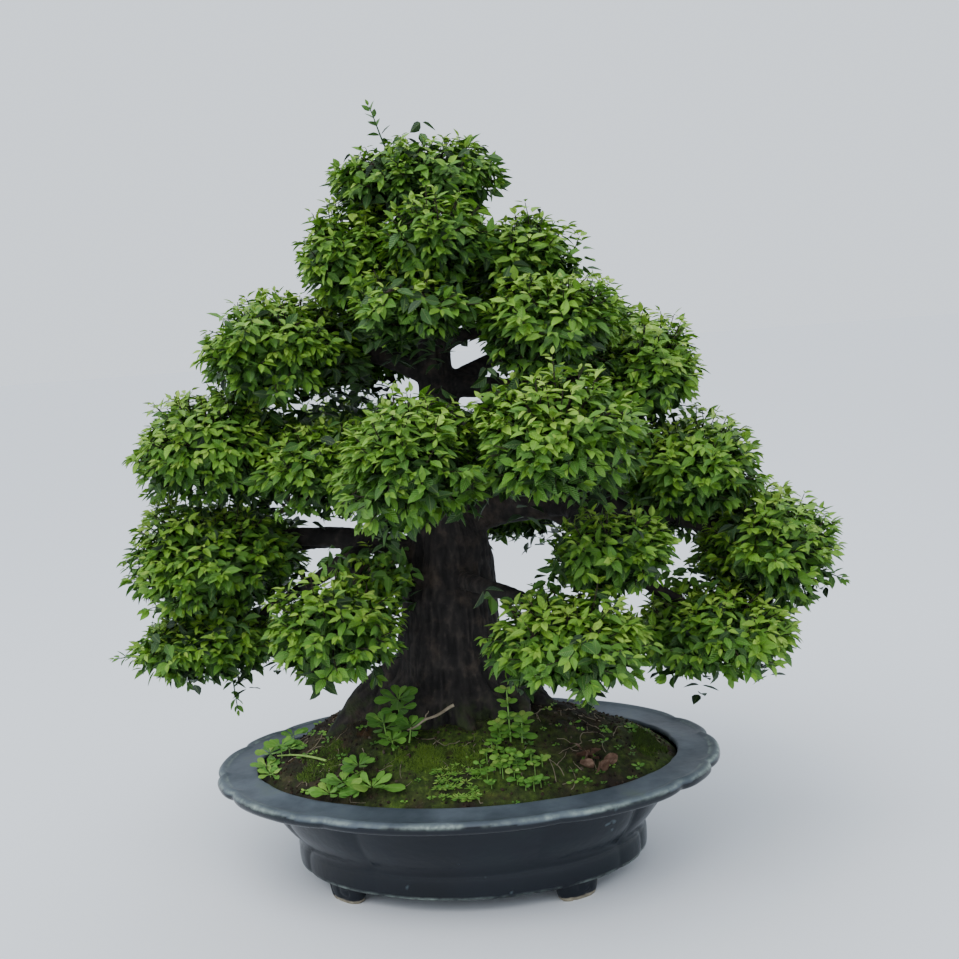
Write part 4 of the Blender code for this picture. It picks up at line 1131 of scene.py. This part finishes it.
(x, y, _), (wide, deep, tall) = plant_middle("weed_feathery")
parts = []
for number in range(46):
    across, back = rng.uniform(-1.1, 1.1, 2)
    foot = on_soil(x + across * wide, np.clip(y + back * deep, -half_mouth[1] * 0.93, 0))
    crown = foot + UP * rng.uniform(0.001, 0.9 * tall)
    length = rng.uniform(0.004, 0.007)
    parts.append(rosette(crown, 11, length, 0.0006, 0.5, ROUND_LEAF, rng, rng.uniform(0.45, 0.85)))
plant_piece("weed_feathery_sprays", parts, "weed_feathery", weed_green)

# seedlings no taller than a leaf are scattered over the front of the mound
SEEDLINGS = 150
parts = []
for number in range(SEEDLINGS):
    x = rng.uniform(-1, 1) * half_mouth[0] * 0.9
    y = rng.uniform(-1, 0.25) * half_mouth[1] * 0.95
    past_edge = math.hypot(x / half_mouth[0], y / half_mouth[1]) > 0.97
    if past_edge or math.hypot(x - TRUNK[0, 0], y - TRUNK[0, 1]) < 0.085:
        continue
    length = rng.uniform(0.003, 0.0075)
    crown = on_soil(x, y, 0.0015)
    parts.append(rosette(crown, 5, length, 0.30 * length, 0.5, ROUND_LEAF, rng, rng.uniform(0.1, 0.7)))
plant_piece("seedlings_scattered", parts, None, weed_green)

# ================================================================ litter
# Curled brown leaves, one forked dead twig and shreds of dry root lie loose on the crust, where
# they fell or were left.
dry = start_finish("dry_brown_leaf", Roughness=0.8, Specular_IOR_Level=0.3)
dry_cloud = noise(dry, 140.0, 5.0)
dry_colour = ramp(dry, dry_cloud, (0.3, (78, 58, 46)), (0.55, (118, 90, 74)), (0.75, (156, 128, 108)))
feed(dry, Base_Color=dry_colour, Normal=relief(dry, noise(dry, 260.0), 0.0008))
(x, y, _), (wide, deep, tall) = plant_middle("dry_leaves")
DRY_LEAVES = 12
spots = np.array([
    on_soil(x + rng.uniform(-0.8, 0.5) * wide, y + rng.uniform(-0.6, 0.6) * deep, 0.002)
    for _ in range(DRY_LEAVES)
])
turn = rng.uniform(0, 2 * np.pi, DRY_LEAVES)
along = unit(np.stack([np.cos(turn), np.sin(turn), rng.uniform(0.1, 0.9, DRY_LEAVES)], -1))
wish = UP + rng.normal(0, 0.6, along.shape)
length = rng.uniform(0.011, 0.018, DRY_LEAVES)
half_width = rng.uniform(0.0045, 0.0075, DRY_LEAVES)
points, faces, marks, _ = blades(
    spots, along, leaf_face(along, wish), length, half_width, -0.5, -0.25, ROUND_LEAF, curl=-0.9,
)
fallen = (points, faces, marks, np.full(len(points), 0.5))
plant_piece("dry_leaves_curled", [fallen], "dry_leaves", dry)

straw = start_finish("dry_straw", Roughness=0.85, Specular_IOR_Level=0.3)
straw_colour = ramp(straw, noise(straw, 90.0), (0.3, (96, 84, 68)), (0.7, (160, 148, 126)))
feed(straw, Base_Color=straw_colour, Normal=relief(straw, noise(straw, 500.0), 0.0003))
start, tip = spine("dead_twig")
u = np.linspace(0, 1, 14)[:, None]
bend = 0.0012 * np.concatenate([np.sin(9 * u), np.cos(7 * u), 0.6 * np.sin(13 * u)], axis=1)
main = start + (tip - start) * u + bend
fork = main[8] + (np.array([0.004, 0.006, 0.007]) * u) + 0.3 * bend
points, faces = joined([
    tubes(main[None], np.linspace(0.0016, 0.0008, 14)[None], 8),
    tubes(fork[None], np.linspace(0.0009, 0.0004, 14)[None], 6),
])
finished(make_piece("dead_twig_forked", points, faces), straw, "dead_twig")

SHREDS = 130
x, y = scattered(SHREDS, rng, 0.93)
turn = rng.uniform(0, 2 * np.pi, SHREDS)[:, None] + rng.normal(0, 0.9, (SHREDS, 1)) * u.T
length = rng.uniform(0.006, 0.030, SHREDS)[:, None]
path_x = x[:, None] + length * u.T * np.cos(turn)
path_y = y[:, None] + length * u.T * np.sin(turn)
shrink = np.minimum(1, 0.95 / np.hypot(path_x / half_mouth[0], path_y / half_mouth[1]))
path_x, path_y = path_x * shrink, path_y * shrink
paths = np.stack([path_x, path_y, soil_crust(path_x, path_y) + 0.0004], -1) + pot_middle
shreds = make_piece("dry_root_shreds", *tubes(paths, np.linspace(0.0005, 0.0002, 14)[None], 5))
finished(shreds, straw, None)

# ================================================================ floor, light and camera
# A pale floor runs out to a pale grey-blue surround.  One broad lamp hangs over the front, soft
# daylight falls from above the front left, and the camera looks down a little from the right.
FLOOR_REACH = 12.0
floor_corners = np.array([(-1, -1, 0), (1, -1, 0), (1, 1, 0), (-1, 1, 0)]) * FLOOR_REACH
floor = make_piece("pale_floor", floor_corners, [np.array([[0, 1, 2, 3]])])
floor_colour = screen_colour(228, 231, 235)
floor.data.materials.append(start_finish("pale_floor_finish", Base_Color=floor_colour, Roughness=0.9))

surround = bpy.data.worlds.new("pale_surround")
surround.use_nodes = True
backdrop = surround.node_tree.nodes["Background"]
backdrop.inputs["Color"].default_value = screen_colour(205, 213, 222)
backdrop.inputs["Strength"].default_value = 1.85
bpy.context.scene.world = surround


def soft_lamp(name, place, aim, size, power):
    """A square area lamp at a place, facing its aim."""
    lamp = bpy.data.lights.new(name, "AREA")
    lamp.size = size
    lamp.energy = power
    holder = bpy.data.objects.new(name, lamp)
    holder.location = place
    holder.rotation_euler = (Vector(aim) - Vector(place)).to_track_quat("-Z", "Y").to_euler()
    bpy.context.scene.collection.objects.link(holder)


soft_lamp("overhead", (-0.3, -0.9, 2.4), (0, 0, 0.35), 1.8, 22)
daylight = bpy.data.lights.new("daylight", "SUN")
daylight.energy = 1.0
daylight.angle = math.radians(50)
daylight_holder = bpy.data.objects.new("daylight", daylight)
daylight_holder.rotation_euler = (math.radians(32), math.radians(-14), 0)
bpy.context.scene.collection.objects.link(daylight_holder)

lens = bpy.data.cameras.new("camera")
lens.lens = 46.9
lens.sensor_width = 36.0
eye = pot_middle + (0.214, -1.2137, 0.5792)
heading, pitch, roll = (math.radians(angle) for angle in (8.2, -8.4, -4.7))
camera = bpy.data.objects.new("camera", lens)
camera.matrix_world = (
    Matrix.Translation(eye) @ Matrix.Rotation(heading, 4, "Z")
    @ Matrix.Rotation(math.pi / 2 + pitch, 4, "X") @ Matrix.Rotation(roll, 4, "Z")
)
bpy.context.scene.collection.objects.link(camera)
bpy.context.scene.camera = camera
